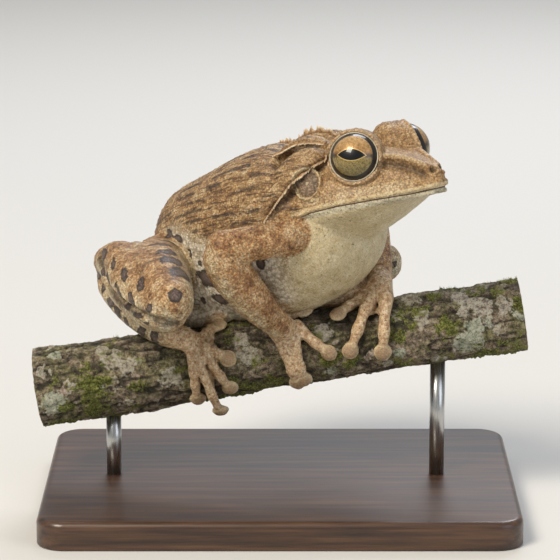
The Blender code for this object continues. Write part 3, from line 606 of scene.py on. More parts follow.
def headShape():
    # Half outlines of nine points at each station, mirrored and smoothed both ways
    rings = []
    for back, crown, top, edge, lip, mouth, jaw, chin in smoothCurve(head["stations"], 8):
        cheek = 0.58 + 0.27 * min(1.0, max(0.0, (back - 12) / 10))
        deep = 0.62 - 0.2 * min(1.0, max(0.0, (back - 12) / 8))
        half = [
            (0.0, top),
            (0.55 * crown, top - 0.1 * (top - edge)),
            (crown, edge),
            ((1 - cheek) * crown + cheek * lip - 0.5, 0.5 * edge + 0.5 * mouth),
            (lip, mouth + 1.1),
            (lip - 0.15, mouth - 0.5),
            (jaw - 0.4, mouth - 0.3 * (mouth - chin) - 0.6),
            (deep * jaw, mouth - 0.82 * (mouth - chin)),
            (0.0, chin),
        ]
        loop = half + [(-y, z) for y, z in reversed(half[1:-1])]
        fine = smoothCurve([loop[-1], *loop, loop[0], loop[1]], 6)[6:-12]
        lean = 1.35 * math.exp(-back / 4) * np.maximum(0, -1.3 - fine[:, 1])
        rings.append(inHead(np.column_stack([back + lean, fine])))
    return tube(np.array(rings), inHead((-0.1, 0, -0.6)), inHead((36.5, 0, -2.0)))


def lipShape(height, inset, thick, front):
    # A roll of skin along the mouth from one corner round the snout to the other
    half = [
        (s[0], s[4] - inset, s[5] + height)
        for s in head["stations"]
        if 1 < s[0] < head["jawBack"] + 1
    ]
    around = [(b, -y, z) for b, y, z in reversed(half)] + [(front, 0.0, half[0][2]), *half]
    keys = np.column_stack([inHead(around), np.full((len(around), 2), thick)])
    return sweep(keys, headAxes[2], sides=16, perSpan=8)


def crestWay(crest, side):
    # The foot of a crest as a fine path, cut off at its end
    way = smoothCurve(inBody(np.array(crest["way"]) * (1, side, 1)), 24)
    return way[: int(crest["end"] * len(way))]


def crestLean(crest, side):
    # The direction straight off the skin under a crest
    aside, up = crest["lean"]
    return unit(aside * side * bodyAxes[1] + up * bodyAxes[2])


def digitKeys(foot, index, fractions):
    # A digit's way from the sole to its pad, in branch measures
    root, pad = foot["digits"][index]
    start, end = np.array([*root, 1.35 * foot["shaft"] + 0.4]), np.array(pad, float)
    return start + (end - start) * np.asarray(fractions, float)[:, None]


def digitShapes(foot, index):
    # A finger or toe with swollen joints, and the disc at its tip with its grooved rim
    ways = digitKeys(foot, index, (0.0, 0.2, 0.35, 0.48, 0.62, 0.75, 0.87, 1.0))
    root = 1.35 if foot["webs"] < 0.5 else 0.95
    wide = foot["shaft"] * np.array([root, 0.3 + 0.67 * root, 1.0, 0.95, 1.14, 0.92, 0.84, 0.82])
    places = onBranch(ways - (0, 0, 0.12))
    keys = np.column_stack([places, wide, wide])
    shapes = [sweep(keys, offBark, sides=20, perSpan=5, cap=(0.8, 0.8))]
    tip = places[-1]
    outward = unit(offBark(tip[None])[0])
    ahead = tip - places[-2]
    ahead = unit(ahead - np.dot(ahead, outward) * outward)
    axes = np.array([ahead, np.cross(outward, ahead), outward])
    pad = foot["pad"]
    shapes.append(ball(tip - 0.2 * outward, axes, (pad * 1.07, pad * 1.02, 0.72), 32, 16))
    shapes.append(ball(tip + 0.12 * outward, axes, (pad * 0.9, pad * 0.84, 0.92), 32, 16))
    return shapes


def webShape(foot, index):
    # Thin skin between neighbouring digits: a mix of the two ways, with a hollow free edge
    steps = 12
    across = np.arange(steps + 1) / steps
    far = foot["webs"] * (1 - 0.45 * np.sin(math.pi * across))
    share = 0.05 + (far - 0.05) * (np.arange(steps + 1) / steps)[:, None]
    ends = [digitKeys(foot, i, (0.0, 1.0)) for i in (index, index + 1)]
    first, second = (e[0] + (e[1] - e[0]) * share[..., None] for e in ends)
    place = first + (second - first) * across[:, None]
    sheets = [onBranch(np.dstack([place[..., :2], np.full(share.shape, z)])) for z in (0.6, 0.1)]
    rings = np.concatenate([sheets[0], sheets[1][:, ::-1]], axis=1)
    return tube(rings, rings[0].mean(0), rings[-1].mean(0))


def soleShape(foot):
    # The palm or sole, from the wrist or ankle down onto the bark
    size = foot["heelSize"]
    wide, high = foot["soleSize"]
    heel, sole = np.array(foot["heel"]), np.array(foot["sole"])
    places = onBranch([heel, 0.5 * heel + 0.5 * sole, sole])
    sizes = [(size, size * 0.95), (wide * 0.95, high * 1.25), (wide, high)]
    return sweep(np.column_stack([places, sizes]), offBark, sides=28, perSpan=8)


def skinShapes():
    # Every overlapping form that the skin is drawn over
    spine = np.array(body["spine"])
    keys = np.column_stack([inBody(spine[:, [0, 0, 1]] * (1, 0, 1)), spine[:, 2:]])
    shapes = [sweep(keys, bodyAxes[2], 72, 12, cap=(0.8, 0.3), square=2.35), headShape()]
    for side in (-1, 1):
        centre, axes = eyeFrame(side)
        brow = centre - 2.4 * axes[2] + 0.9 * headAxes[2]
        shapes.append(ball(brow, axes, (5.9, 5.7, 4.6)))
        shapes.append(ball(centre - 0.6 * axes[2], axes, (6.15, 6.15, 5.4)))
        rim = math.sqrt(eye["radius"] ** 2 - eye["lidRadius"] ** 2) - 0.35
        wide = (eye["lidRadius"] + 0.55,) * 2
        shapes.append(hoop(centre + axes[2] * rim, axes[2], axes[0], wide, (0.42, 0.34)))
        ridge = inHead(np.array(head["canthus"]) * (1, side, 1))
        keys = np.column_stack([ridge, np.full((len(ridge), 2), 0.75)])
        shapes.append(sweep(keys, headAxes[2], sides=20))
        shapes.append(ball(inHead((27.4, side * 15.0, -3.0)), headAxes, (2.2, 1.6, 1.4)))
        drum, facing = earFrame(side)
        cup = (ear["long"] + 0.55, ear["short"] + 0.55)
        shapes.append(hoop(drum + 0.05 * facing[2], facing[2], facing[0], cup, 0.34))
        drumSize = (ear["long"], ear["short"], 0.9)
        shapes.append(ball(drum - 0.25 * facing[2], facing, drumSize))
    ridge = crestWay(crests["middle"], 1)[::12]
    swell = 1.5 * np.sin(math.pi * np.linspace(0.12, 0.9, len(ridge)))
    keys = np.column_stack([ridge - (0, 0, 2.1), swell + 0.6, 1.25 * swell + 0.5])
    shapes.append(sweep(keys, bodyAxes[2], sides=24, perSpan=4))
    shapes += [lipShape(0.7, 0.4, 0.5, 1.5), lipShape(-0.7, 1.2, 0.5, 3.0)]
    for name in ("overEar", "upper"):
        for side in (-1, 1):
            crest = crests[name]
            lean = crestLean(crest, side)
            away = -unit(np.array(crest["hollow"]) * (1, side, 1)) @ bodyAxes
            way = crestWay(crest, side)[::12]
            thick = np.sin(math.pi * np.linspace(0.15, 0.85, len(way)))[:, None] * (1, 1)
            for drop, shift, size in crest["folds"]:
                keys = np.column_stack([way - drop * lean + shift * away, size * thick])
                shapes.append(sweep(keys, bodyAxes[2], sides=24, perSpan=4))
    for keys in (*limbs.values(), calf, groin):
        shapes.append(sweep(keys, boneTop, 40, 10, cap=(0.6, 1.0)))
    for foot in feet.values():
        shapes.append(soleShape(foot))
        for index in range(len(foot["digits"])):
            shapes += digitShapes(foot, index)
        for index in range(len(foot["digits"]) - 1):
            shapes.append(webShape(foot, index))
    return [facedOut(shape) for shape in shapes]


def drawnTogether(shapes, size):
    # One closed surface round overlapping shapes, in cells of the given size
    thing = makeMesh("union", joined(shapes), body=None)
    thing.data.transform(scaleUp)
    remesh = thing.modifiers.new("union", "REMESH")
    remesh.mode = "VOXEL"
    remesh.voxel_size = size
    mesh = evaluated(thing)
    points, edges, quads, tris = meshArrays(mesh)
    old = thing.data
    bpy.data.objects.remove(thing)
    bpy.data.meshes.remove(old)
    bpy.data.meshes.remove(mesh)
    return points - (0, 0, perchHeight), edges, quads, tris


# Folds, grains and marks of the skin


def waySteps(way):
    # How far along a path each of its points lies, in mm
    return np.concatenate([[0], np.cumsum(np.linalg.norm(np.diff(way, axis=0), axis=1))])


def nearWay(points, way, reach=1e9):
    # For each point: distance to a path, how far along it in mm, and the nearest place on it
    steps = waySteps(way)
    gap, along = np.full(len(points), 1e3), np.zeros(len(points))
    place = np.zeros_like(points)
    low, high = way.min(0) - reach, way.max(0) + reach
    inside = np.where(((points > low) & (points < high)).all(1))[0]
    for start in range(0, len(inside), 20000):
        part = inside[start : start + 20000]
        far = np.linalg.norm(points[part, None] - way[None], axis=2)
        best = far.argmin(1)
        gap[part], along[part], place[part] = far.min(1), steps[best], way[best]
    return gap, along, place


def limbFields(points):
    # Per limb: distance over half width, way along and length in mm, degrees round the bone from
    # its side over its top, and the half width
    fields = {}
    for name, keys in limbs.items():
        curve = smoothCurve(keys, 10)
        gap, along, place = nearWay(points, curve[:, :3], 12)
        steps = waySteps(curve[:, :3])
        width = np.interp(along, steps, 0.5 * (curve[:, 3] + curve[:, 4]))
        run = unit(np.gradient(curve[:, :3], axis=0))
        run = unit(np.column_stack([np.interp(along, steps, run[:, k]) for k in range(3)]))
        aside = unit(np.cross(np.array(boneTop), run))
        off = points - place
        turn = np.arctan2((off * np.cross(run, aside)).sum(1), (off * aside).sum(1))
        fields[name] = (gap / width, along, steps[-1], np.degrees(turn), width)
    return fields


def digitFields(points):
    # Share of the way down the nearest finger or toe, its distance and the pad's distance
    share, gap, pad = np.zeros(len(points)), np.full(len(points), 99.0), np.full(len(points), 99.0)
    for foot in feet.values():
        heel, sole = np.array(foot["heel"]), np.array(foot["sole"])
        far = nearWay(points, onBranch(heel + (sole - heel) * np.linspace(0, 1, 9)[:, None]), 6)[0]
        gap = np.minimum(gap, np.maximum(0, far - 2.0))
        for index in range(len(foot["digits"])):
            way = onBranch(digitKeys(foot, index, np.linspace(0, 1, 14)))
            far, along, _ = nearWay(points, way, 6)
            length = np.linalg.norm(np.diff(way, axis=0), axis=1).sum()
            closer = far < gap
            share = np.where(closer, along / length, share)
            gap = np.minimum(gap, far)
            disc = np.linalg.norm(points - way[-1], axis=1) / foot["pad"]
            pad = np.minimum(pad, disc)
    return share, gap, pad


def crestFields(points):
    # Per crest: distance to its way, the part of it toward the hollow, and a fade at both ends
    for crest in crests.values():
        for side in crest["sides"]:
            way = crestWay(crest, side)
            gap, along, place = nearWay(points, way, 9)
            length = np.linalg.norm(np.diff(way, axis=0), axis=1).sum()
            toward = unit(np.array(crest["hollow"] or (0, 1, 0)) * (1, side, 1)) @ bodyAxes
            fade = step(along, -0.5, 1.2) * (1 - step(along, length - 2.5, length + 0.1))
            yield crest, gap, (points - place) @ toward, fade


def mouthHeight(back):
    # Height of the mouth's line in the head's measures
    return np.interp(back, (-1, 0.5, 5, 12, 18, 24, 31), (-1.9, -1.9, -2.15, -2.15, -2.25, -2.75, -4.6))


joints = (
    # where skin runs smoothly from one part to the next: place, reach and strength
    ((-20.0, 9.5, 18.8), 11.0, 1.0), ((-8.0, 23.2, 19.9), 11.0, 1.0), ((8.0, -8.0, 30.0), 8.0, 1.0),
    ((2.0, -13.5, 28.5), 6.5, 0.8), ((17.0, -2.0, 31.0), 8.0, 1.0),
    ((-12.3, -20.0, 26.0), 5.5, 0.6), ((19.8, 19.4, 25.8), 5.5, 0.6), ((0.4, -10.4, 7.8), 5.5, 0.9),
    ((21.6, 0.6, 11.8), 5.5, 0.9), ((-22.2, -25.2, 16.0), 6.5, 0.5), ((22.0, 25.0, 13.0), 6.5, 0.5),
    ((-36.4, 7.0, 16.8), 5.5, 0.5), ((-9.8, 30.8, 14.6), 5.5, 0.5), ((-20.2, -8.4, 4.9), 5.0, 0.9),
    ((1.0, 12.4, 6.4), 5.0, 0.9),
)


def easedJoints(points, edges):
    # Smooths away the creases where two parts meet, strongest at the joints and the neck
    weight = np.zeros(len(points))
    for place, reach, strength in joints:
        far = np.linalg.norm(points - np.array(place), axis=1)
        weight = np.maximum(weight, strength * (1 - step(far, 0.45 * reach, reach)))
    back, left, up = toHead(points).T
    neck = bell(back - head["neck"], 3.8) * (1 - bell(np.abs(left) - 13.9, 3) * bell(back - 24.3, 4.5))
    weight = np.maximum(weight, np.where(np.abs(back - head["neck"]) < 10, neck, 0))
    near = weight > 0.02
    keep = near[edges].all(1)
    index = np.cumsum(near) - 1
    eased = relaxed(points[near], index[edges[keep]], 26, weight[near], grow=0)
    points = points.copy()
    points[near] = np.where(weight[near, None] > 0.02, eased, points[near])
    return points


# The skin's relief: heights and depths in mm
relief = {
    "mouth": 0.3,
    "fold": 0.4,
    "overFold": 0.3,
    "underFold": 0.4,
    "underEdge": 0.5,
    "nostril": 0.75,
    "nostrilRim": 0.16,
    "earGroove": 0.36,
    "earRim": 0.12,
    "earDish": 0.25,
    "earMiddle": 0.14,
    "underCrest": 0.6,
    "crease": 1.5,
    "valley": 0.4,
    "wrist": 0.15,
    "grain": 0.1,
    "belly": 0.05,
    "wart": 0.16,
    "wrinkle": 0.15,
    "rows": 0.14,
}


def backAngle(ahead, across, height):
    # Degrees round the body from the middle of the back
    middle = np.interp(ahead, (0, 50), (13, 27))
    return np.degrees(np.arctan2(np.abs(across), height - middle))


def backRows(points):
    # Long rows of ridges and dashes down the back: two noises stretched along the body, one read
    # at each row's own place so that every row has its own dashes. Values above 0 are dashes.
    ahead, across, height = toBody(points).T
    girth = backAngle(ahead, across, height)
    row = girth / 7.6 + 0.35 * noise(points, 9, 61)
    lane = np.abs(row - np.round(row))
    chance = hashed(np.stack([np.round(row), 0 * row, 0 * row], -1), 62)
    dash = noise(np.column_stack([ahead / 5.2, np.round(row) * 7.7, 0 * ahead]), 1.0, 63, 2)
    streak = np.minimum(1.5 * (dash - 0.16 + 0.34 * chance), 2.6 * (0.19 - lane))
    ridges = noise(np.column_stack([ahead / 4.5, girth / 3.6, 0 * ahead]), 1.0, 8, 3)
    onBack = step(ahead, -1, 4) * (1 - step(ahead, 47, 53)) * step(height, 12, 20)
    return streak, ridges, onBack


def creased(points, normals):
    # Height of the folds, grooves, warts and grains over the bare skin at each point
    back, left, up = toHead(points).T
    side = np.abs(left)
    ahead, across, height = toBody(points).T
    onHead = step(30.5 - back, -2, 4)
    rise = np.zeros(len(points))

    # the mouth's line from corner to corner, fading past the corners
    line = up - mouthHeight(back)
    facing = np.abs(normals @ headAxes[2]) < 0.85
    closeBy = (1 - step(back, 25.0, 28.5)) * step(back, 0, 3) * step(12 - np.abs(line), 0, 6)
    rise -= relief["mouth"] * bell(line, 0.26) * closeBy * facing

    # the fold that runs back from the mouth's corner, with a groove under and over it
    lane = bell(back - 28, 4.2) * (side > 9)
    fold = up - foldHeight(back)
    rise += relief["fold"] * bell(fold, 0.8) * lane
    over, under = bell(fold - 1.6, 0.5), bell(fold + 1.5, 0.5)
    rise -= relief["overFold"] * over * lane + relief["underFold"] * under * lane

    # the hollow between the snout's edge and the lip, dark under the edge
    below = canthusDrop(back, up)
    hollow = relief["underEdge"] * bell(below - 1.5, 0.8) * step(back, 1.6, 3.2)
    rise -= hollow * (1 - step(back, 10.0, 12.5)) * (side > 1)

    for sign in (-1, 1):
        pit = nostrilGap(points, sign)
        rim, pitted = bell(pit - 0.95, 0.35), bell(pit - 0.35, 0.33) * (pit < 1.2)
        rise += relief["nostrilRim"] * rim - relief["nostril"] * pitted
        r, z = earPlace(points, sign)
        disc = (np.abs(z) < 2.5) & (r < 2)
        rim = relief["earRim"] * bell(r - 1.2, 0.07) - relief["earGroove"] * bell(r - 1.03, 0.07)
        dish = relief["earMiddle"] * bell(r, 0.16) - relief["earDish"] * bell(r, 0.6)
        rise += np.where(disc, rim, 0)
        rise += np.where(disc & (r < 1), dish, 0)
    for crest, gap, aside, fade in crestFields(points):
        if crest["hollow"] is None:
            continue
        upper = step(-aside, -0.15, 0.35) * np.exp(-np.maximum(-aside, 0) / 2.8)
        low = bell(aside - 0.8, 0.95) * (aside > -0.3)
        rise += np.where(gap < 8, (crest["step"] * upper - relief["underCrest"] * low) * fade, 0)

    # long wrinkles down the throat and belly, short ones on the flanks
    pale = step(paleness(points), 0.3, 0.7)
    lines = noise(np.column_stack([ahead * 0.22, across, height + 0.5 * ahead]), 1.5, 3, 2)
    rise += relief["wrinkle"] * 0.8 * lines * pale * (1 - onHead * 0.5)
    flank = bell(ahead - 20, 9) * step(np.abs(across), 9, 14) * (1 - pale)
    rise += relief["wrinkle"] * noise(points, (2.0, 1.6, 1.0), 5, 2) * flank

    _, ridges, onBack = backRows(points)
    rise += relief["rows"] * ridges * onBack * (1 - pale) * (1 - onHead)

    # the valley between the left leg's lower bones, creases at wrists, elbow and ankle
    fields = limbFields(points)
    between = valley(fields["shank_left"], fields["tarsus_left"])
    rise -= relief["crease"] * creaseDepth(points, 0.8) + relief["valley"] * between
    for name, spots in (
        ("forearm_right", (16.0, 18.0, 19.6)),
        ("forearm_left", (16.0, 17.6)),
        ("upper_arm_right", (18.0,)),
        ("tarsus_right", (20.5, 22.0)),
    ):
        q, along = fields[name][:2]
        wobble = 0.5 * noise(points, 2.5, 21)
        for spot in spots:
            rise -= relief["wrist"] * bell(along - spot - wobble, 0.28) * (q < 1.35)

    # grains everywhere: low domes in random cells, flatter on the belly and fading on the pads
    calm = 1 - 0.8 * step(1.35 - digitFields(points)[2], 0, 0.25)
    for sign in (-1, 1):
        r, z = earPlace(points, sign)
        calm = calm * (1 - 0.85 * (r < 1) * (np.abs(z) < 2.5))
    dome, tag = cells(points, 0.85, 31)
    grain = np.clip(0.62 - dome, 0, 1) * 2.2 * (0.4 + tag) - 0.4
    rise += relief["grain"] * calm * (1 - pale) * grain
    dome, tag = cells(points, 1.2, 37)
    rise += relief["belly"] * pale * (np.clip(0.7 - dome, 0, 1) * 1.8 - 0.5)
    wart, tag = cells(points, 2.3, 41)
    tall = np.clip(1 - wart / 0.22, 0, 1) ** 0.7
    rise += relief["wart"] * calm * (1 - pale) * (tag > 0.76) * tall
    return rise


def creaseDepth(points, width):
    # 1 along the crease between the right leg's two upper bones and the ankle below them; its
    # path is drawn onto the nearest points of the skin
    keys = [points[np.linalg.norm(points - np.array(key), axis=1).argmin()] for key in crease]
    return bell(nearWay(points, smoothCurve(keys, 12), 4)[0], width)


def valley(shank, tarsus):
    # 1 along the line where the left shank and ankle are equally near, fading away from it
    inner = step(shank[1], 4, 8) * (1 - step(shank[1], shank[2] - 7, shank[2] - 2))
    inner = inner * (np.maximum(shank[0], tarsus[0]) < 1.6)
    return bell(shank[0] - tarsus[0], 0.09) * inner


def openedEyes(points):
    # Sinks the skin in front of each eyeball under it, which leaves the round opening of the lids
    for side in (-1, 1):
        centre, axes = eyeFrame(side)
        x, y, z = ((points - centre) @ axes.T).T
        r = np.hypot(x, y)
        ball = np.sqrt(np.maximum(eye["radius"] ** 2 - r**2, 0))
        inside = step(eye["opening"] - r, -0.06, 0.16) * (z > -1)
        sink = inside * np.minimum(0, ball - 0.55 - z)
        points = points + sink[:, None] * axes[2]
    return points


def foldHeight(back):
    # Height of the fold behind the mouth's corner
    return np.interp(back, (22, 25, 28, 32, 35), (-2.1, -2.3, -3.2, -5.2, -7.2))


def canthusDrop(back, up):
    # How far a point lies under the snout's edge
    ridge = np.array(head["canthus"])[::-1]
    return np.interp(back, ridge[:, 0], ridge[:, 2]) - up


def nostrilGap(points, side):
    # Distance from the middle of a nostril
    return np.linalg.norm(points - inHead(np.array(head["nostril"]) * (1, side, 1)), axis=1)


def earPlace(points, side):
    # Distance from the eardrum's middle in its own radii, and height off it
    drum, facing = earFrame(side)
    x, y, z = ((points - drum) @ facing.T).T
    return np.hypot(x / ear["long"], y / ear["short"]), z


def paleness(points):
    # 1 on the cream throat, belly and flanks, 0 on the brown back and limbs
    back, _, up = toHead(points).T
    ahead, _, height = toBody(points).T
    edge = 0.5 * noise(points, 3.0, 51, 2)
    line = mouthHeight(np.minimum(back, 25)) - 1.6 * np.clip(back - 25, 0, 12)
    throat = step(line - up + 0.5 * edge, -0.4, 0.5)
    side = np.interp(ahead, (-2, 8, 14, 24, 30, 36, 44), (14, 21, 26, 25.5, 23, 23, 28))
    belly = step(side - height + 2.6 * edge, -2.2, 2.2)
    front = step(back, 29, 33)
    return throat * (1 - front) + belly * front


# Dark spots on each bone of the hind legs: how far along it in mm, degrees round it from its side
# over its top, half sizes along and across in mm, and degrees that the spot is turned; mirrored
# on the left leg. The faint ones are lines that run on over the leg's top.
legSpots = {
    "thigh": (
        (4.7, 66, 1.1, 2.4, 0), (9.2, 74, 1.0, 2.4, 0), (14.4, 84, 1.2, 2.7, -12),
        (19.7, 79, 1.6, 2.8, -15), (24.4, 75, 1.9, 3.1, -17), (30.0, 66, 2.5, 3.7, -20),
    ),
    "shank": (
        (14.9, 41, 2.2, 0.9, 26), (8.0, 50, 2.5, 1.1, 26), (20.5, 36, 2.1, 0.8, 24),
        (13.7, 6, 2.1, 0.7, 26), (8.0, 12, 2.1, 0.85, 26), (19.4, 6, 2.3, 0.65, 24),
        (27.9, 25, 2.8, 1.6, 20), (25.8, -5, 1.8, 1.1, 20), (10.2, -17, 1.6, 0.6, 0),
        (5.4, -20, 1.6, 0.6, 0), (2.4, -36, 1.3, 0.8, 0),
    ),
    "tarsus": (
        (0.7, 167, 0.9, 1.4, 0), (4.0, 165, 1.1, 1.9, 0), (7.5, 185, 1.15, 2.0, 0),
        (10.8, 198, 1.2, 2.2, 0), (13.9, 226, 1.15, 2.6, 0), (18.2, 205, 1.05, 2.4, 0),
        (21.3, 210, 1.1, 2.2, 0),
    ),
}
faintSpots = {
    "thigh": (
        (10.0, 118, 0.5, 4.0, 0), (14.4, 118, 0.5, 3.6, 0), (18.4, 112, 0.5, 3.6, 0),
        (24.2, 112, 0.5, 3.4, 0),
    ),
    "shank": (
        (26.4, 66, 0.6, 3.2, 0), (22.3, 72, 0.55, 3.2, 0), (18.8, 82, 0.55, 2.8, 0),
        (11.5, 69, 3.0, 0.55, 45),
    ),
}

# Black blotches on the flanks: ahead of the vent, to the side, height, half length and height, lean
flankSpots = (
    (14.5, 14.0, 23.5, 0.9, 2.2, 0.3), (17.4, 14.9, 23.1, 1.15, 2.8, 0.25),
    (20.7, 15.7, 20.5, 1.25, 2.0, -0.3), (24.2, 16.2, 20.0, 0.6, 0.8, 0.0),
    (25.9, 15.9, 16.7, 3.1, 1.9, 0.4), (27.8, 14.2, 12.3, 2.0, 1.3, 0.2),
    (23.0, 13.6, 11.3, 0.7, 0.9, 0.0), (40.5, 16.1, 22.0, 1.4, 1.35, 0.0),
    (33.0, 14.5, 11.5, 1.2, 0.9, 0.0),
)

# Round spots at the knees: place and radius
kneeSpots = (
    ((-21.2, -28.3, 18.9), 1.6), ((25.2, 20.7, 14.4), 0.85), ((-26.6, -26.5, 15.7), 1.1),
    ((-19.5, -28.6, 21.2), 0.6),
)


def spotsOn(field, spots, turn):
    # How deep each point lies in the nearest of the turned ellipses, 1 in a middle, 0 at an edge
    q, along, _, angle, radius = field
    best = np.full(len(q), -1.0)
    for a, degrees, long, wide, lean in spots:
        around = np.radians((turn - degrees + 180) % 360 - 180) * radius
        c, s = math.cos(math.radians(lean)), math.sin(math.radians(lean))
        u, v = (along - a) * c + around * s, around * c - (along - a) * s
        best = np.maximum(best, 1 - np.hypot(u / long, v / wide))
    return np.where(q < 1.3, best, -1)


def skinMarks(points):
    # The values that the skin's colours are mixed by. Most are smooth distances, so that the
    # material can draw crisp edges finer than the mesh.
    back, left, up = toHead(points).T
    side = np.abs(left)
    ahead, across, height = toBody(points).T
    fields = limbFields(points)
    share, gap, pad = digitFields(points)
    hand = 1 - step(gap, 2.0, 3.0)
    limb, warm, light = np.zeros(len(points)), np.zeros(len(points)), np.zeros(len(points))
    dark, faint = np.full(len(points), -1.0), np.full(len(points), -1.0)
    arms = np.zeros(len(points))
    for name, (q, along, _, angle, _) in fields.items():
        bone, flank = name.rsplit("_", 1)
        on = 1 - step(q, 1.04, 1.2)
        if bone == "upper_arm":
            on = on * step(along + 3.5 * noise(points, 2.2, 81, 3), 3.5, 6.0)
        limb = np.maximum(limb, 1 - step(q, 1.2, 1.45) if bone in ("forearm", "tarsus") else on)
        if "arm" in bone:
            arms = np.maximum(arms, q < 1.4)
        turn = angle if flank == "right" else 180 - angle
        if "arm" in bone:
            warm = np.maximum(warm, on * 0.5)
            edge = np.abs((turn + 112 + 180) % 360 - 180) / 26
            light = np.maximum(light, on * bell(edge, 1) * (bone == "forearm"))
        if bone in ("thigh", "shank"):
            warm = np.maximum(warm, on * 0.35)
        inner = {"thigh": -10, "shank": -50, "tarsus": 200}.get(bone)
        if inner is not None:
            near = np.abs((turn - inner + 180) % 360 - 180)
            least = 0.75 if bone == "tarsus" else 0.0
            light = np.maximum(light, on * (1 - (1 - least) * step(near, 40, 105)))
        dark = np.maximum(dark, spotsOn(fields[name], legSpots.get(bone, ()), turn))
        faint = np.maximum(faint, spotsOn(fields[name], faintSpots.get(bone, ()), turn))
    knee = np.linalg.norm(points - np.array(kneeSpots[1][0]), axis=1)
    dark = np.where(knee < 5, -1, dark)
    for place, size in kneeSpots:
        dark = np.maximum(dark, 1 - np.linalg.norm(points - np.array(place), axis=1) / size)
    torso = (1 - limb) * (1 - hand)
    for a, l, h, long, tall, lean in flankSpots:
        da, dh = ahead - a, height - h
        spot = 1 - np.hypot((da + lean * dh) / long, dh / tall)
        near = (np.abs(np.abs(across) - l) < 5) & (limb < 0.5) & (arms < 0.5)
        dark = np.maximum(dark, np.where(near, spot, -1))

    light = np.maximum(light, bell(knee, 5))
    overLip = bell(up - mouthHeight(back) - 2.0, 1.1) * step(back, 2, 7) * (1 - step(back, 23, 27))
    light = np.maximum(light, 0.55 * overLip * (side > 4))
    dark = dark + 0.42 * noise(points, 1.0, 71, 2) * (dark > -0.9)
    pale = paleness(points)
    streak, _, onBack = backRows(points)
    girth = backAngle(ahead, across, height)
    onBack = onBack * torso
    line = up - mouthHeight(back)
    onMouth = (1 - step(back, 25.2, 27.2)) * torso
    fold = up - foldHeight(back)
    drum = np.minimum(*(r + (np.abs(z) > 2.5) * 9 for r, z in (earPlace(points, k) for k in (-1, 1))))
    edge = np.zeros(len(points))
    for sign in (-1, 1):
        ridge = smoothCurve(inHead(np.array(head["canthus"]) * (1, sign, 1) + (0, sign * 0.5, 0.55)), 12)
        edge = np.maximum(edge, bell(nearWay(points, ridge, 3)[0], 0.42))
    lid = np.full(len(points), 9.0)
    for sign in (-1, 1):
        centre, axes = eyeFrame(sign)
        x, y, z = ((points - centre) @ axes.T).T
        lid = np.minimum(lid, np.where(z > 0, np.hypot(x, y) - eye["opening"], 9))
    below = canthusDrop(back, up)
    loreal = bell(below - 1.6, 1.0) * step(back, 1.4, 3) * (1 - step(back, 9.8, 11.5)) * (side > 1)
    shade = 0.8 * loreal
    shade = np.maximum(shade, 0.45 * bell(nearWay(points, np.array(groin)[:, :3], 9)[0], 6.5))
    for sign in (-1, 1):
        pit = nostrilGap(points, sign)
        shade = np.maximum(shade, 1.2 * bell(pit - 0.3, 0.4) * (pit < 1))
    for crest, gapCrest, aside, fade in crestFields(points):
        if crest["hollow"] is not None:
            under = bell(aside - 0.7, 0.8) * (aside > -0.2) * (gapCrest < 5) * fade
            shade = np.maximum(shade, 0.85 * under)
    return {
        "pale": pale * torso,
        "dark": np.clip(dark, -1, 1),
        "streak": np.clip(streak - 0.12 * step(ahead, 34, 44), -1, 1) * onBack - (1 - onBack) - 2 * step(
            pale, 0.3, 0.7
        ),
        "faint": np.clip(faint, -1, 1),
        "back": onBack * (1 - pale),
        "run": ahead,
        "round": 0.27 * girth,
        "warm": warm * (1 - hand),
        "light": light * (1 - hand),
        "mouth": np.clip(line, -3, 3),
        "lip": onMouth,
        "lid": np.clip(lid, -2, 3),
        "edge": edge * torso,
        "face": torso * step(31 - back, -2, 4),
        "flank": torso * pale * (1 - step(ahead, 42, 48)) * step(np.abs(across), 7, 12) * step(
            height, 4, 9
        ),
        "fold": bell(fold, 0.8) * bell(back - 28, 3.2) * (side > 9) * torso,
        "ear": np.clip(drum, 0, 2),
        "shade": np.clip(np.maximum(shade * torso, creaseDepth(points, 0.95)), 0, 1),
        "pad": 1 - step(pad, 1.0, 1.35),
        "disc": np.clip(pad / 1.2, 0, 1),
        "hand": hand,
        "web": hand * step(gap, 0.95, 1.5) * (1 - step(pad, 0.8, 1.2)) * step(share, 0.05, 0.2),
    }


def thinned(thing, limit, weight):
    # Fewer triangles down to the limit, with most taken where the surface is smooth and the
    # weight, one number per vertex, is high
    count = sum(len(f.vertices) - 2 for f in thing.data.polygons)
    if count > limit:
        group = thing.vertex_groups.new(name="thin")
        level = np.round(np.clip(weight, 0, 1) * 4).astype(int)
        for value in range(1, 5):
            group.add(np.where(level == value)[0].tolist(), value / 4, "REPLACE")
        fewer = thing.modifiers.new("fewer", "DECIMATE")
        fewer.vertex_group = group.name
        fewer.vertex_group_factor = body["headCare"]
        fewer.ratio = limit / count
        mesh = evaluated(thing)
        thing.modifiers.clear()
        thing.vertex_groups.clear()
        old, thing.data = thing.data, mesh
        bpy.data.meshes.remove(old)
        mesh.shade_smooth()


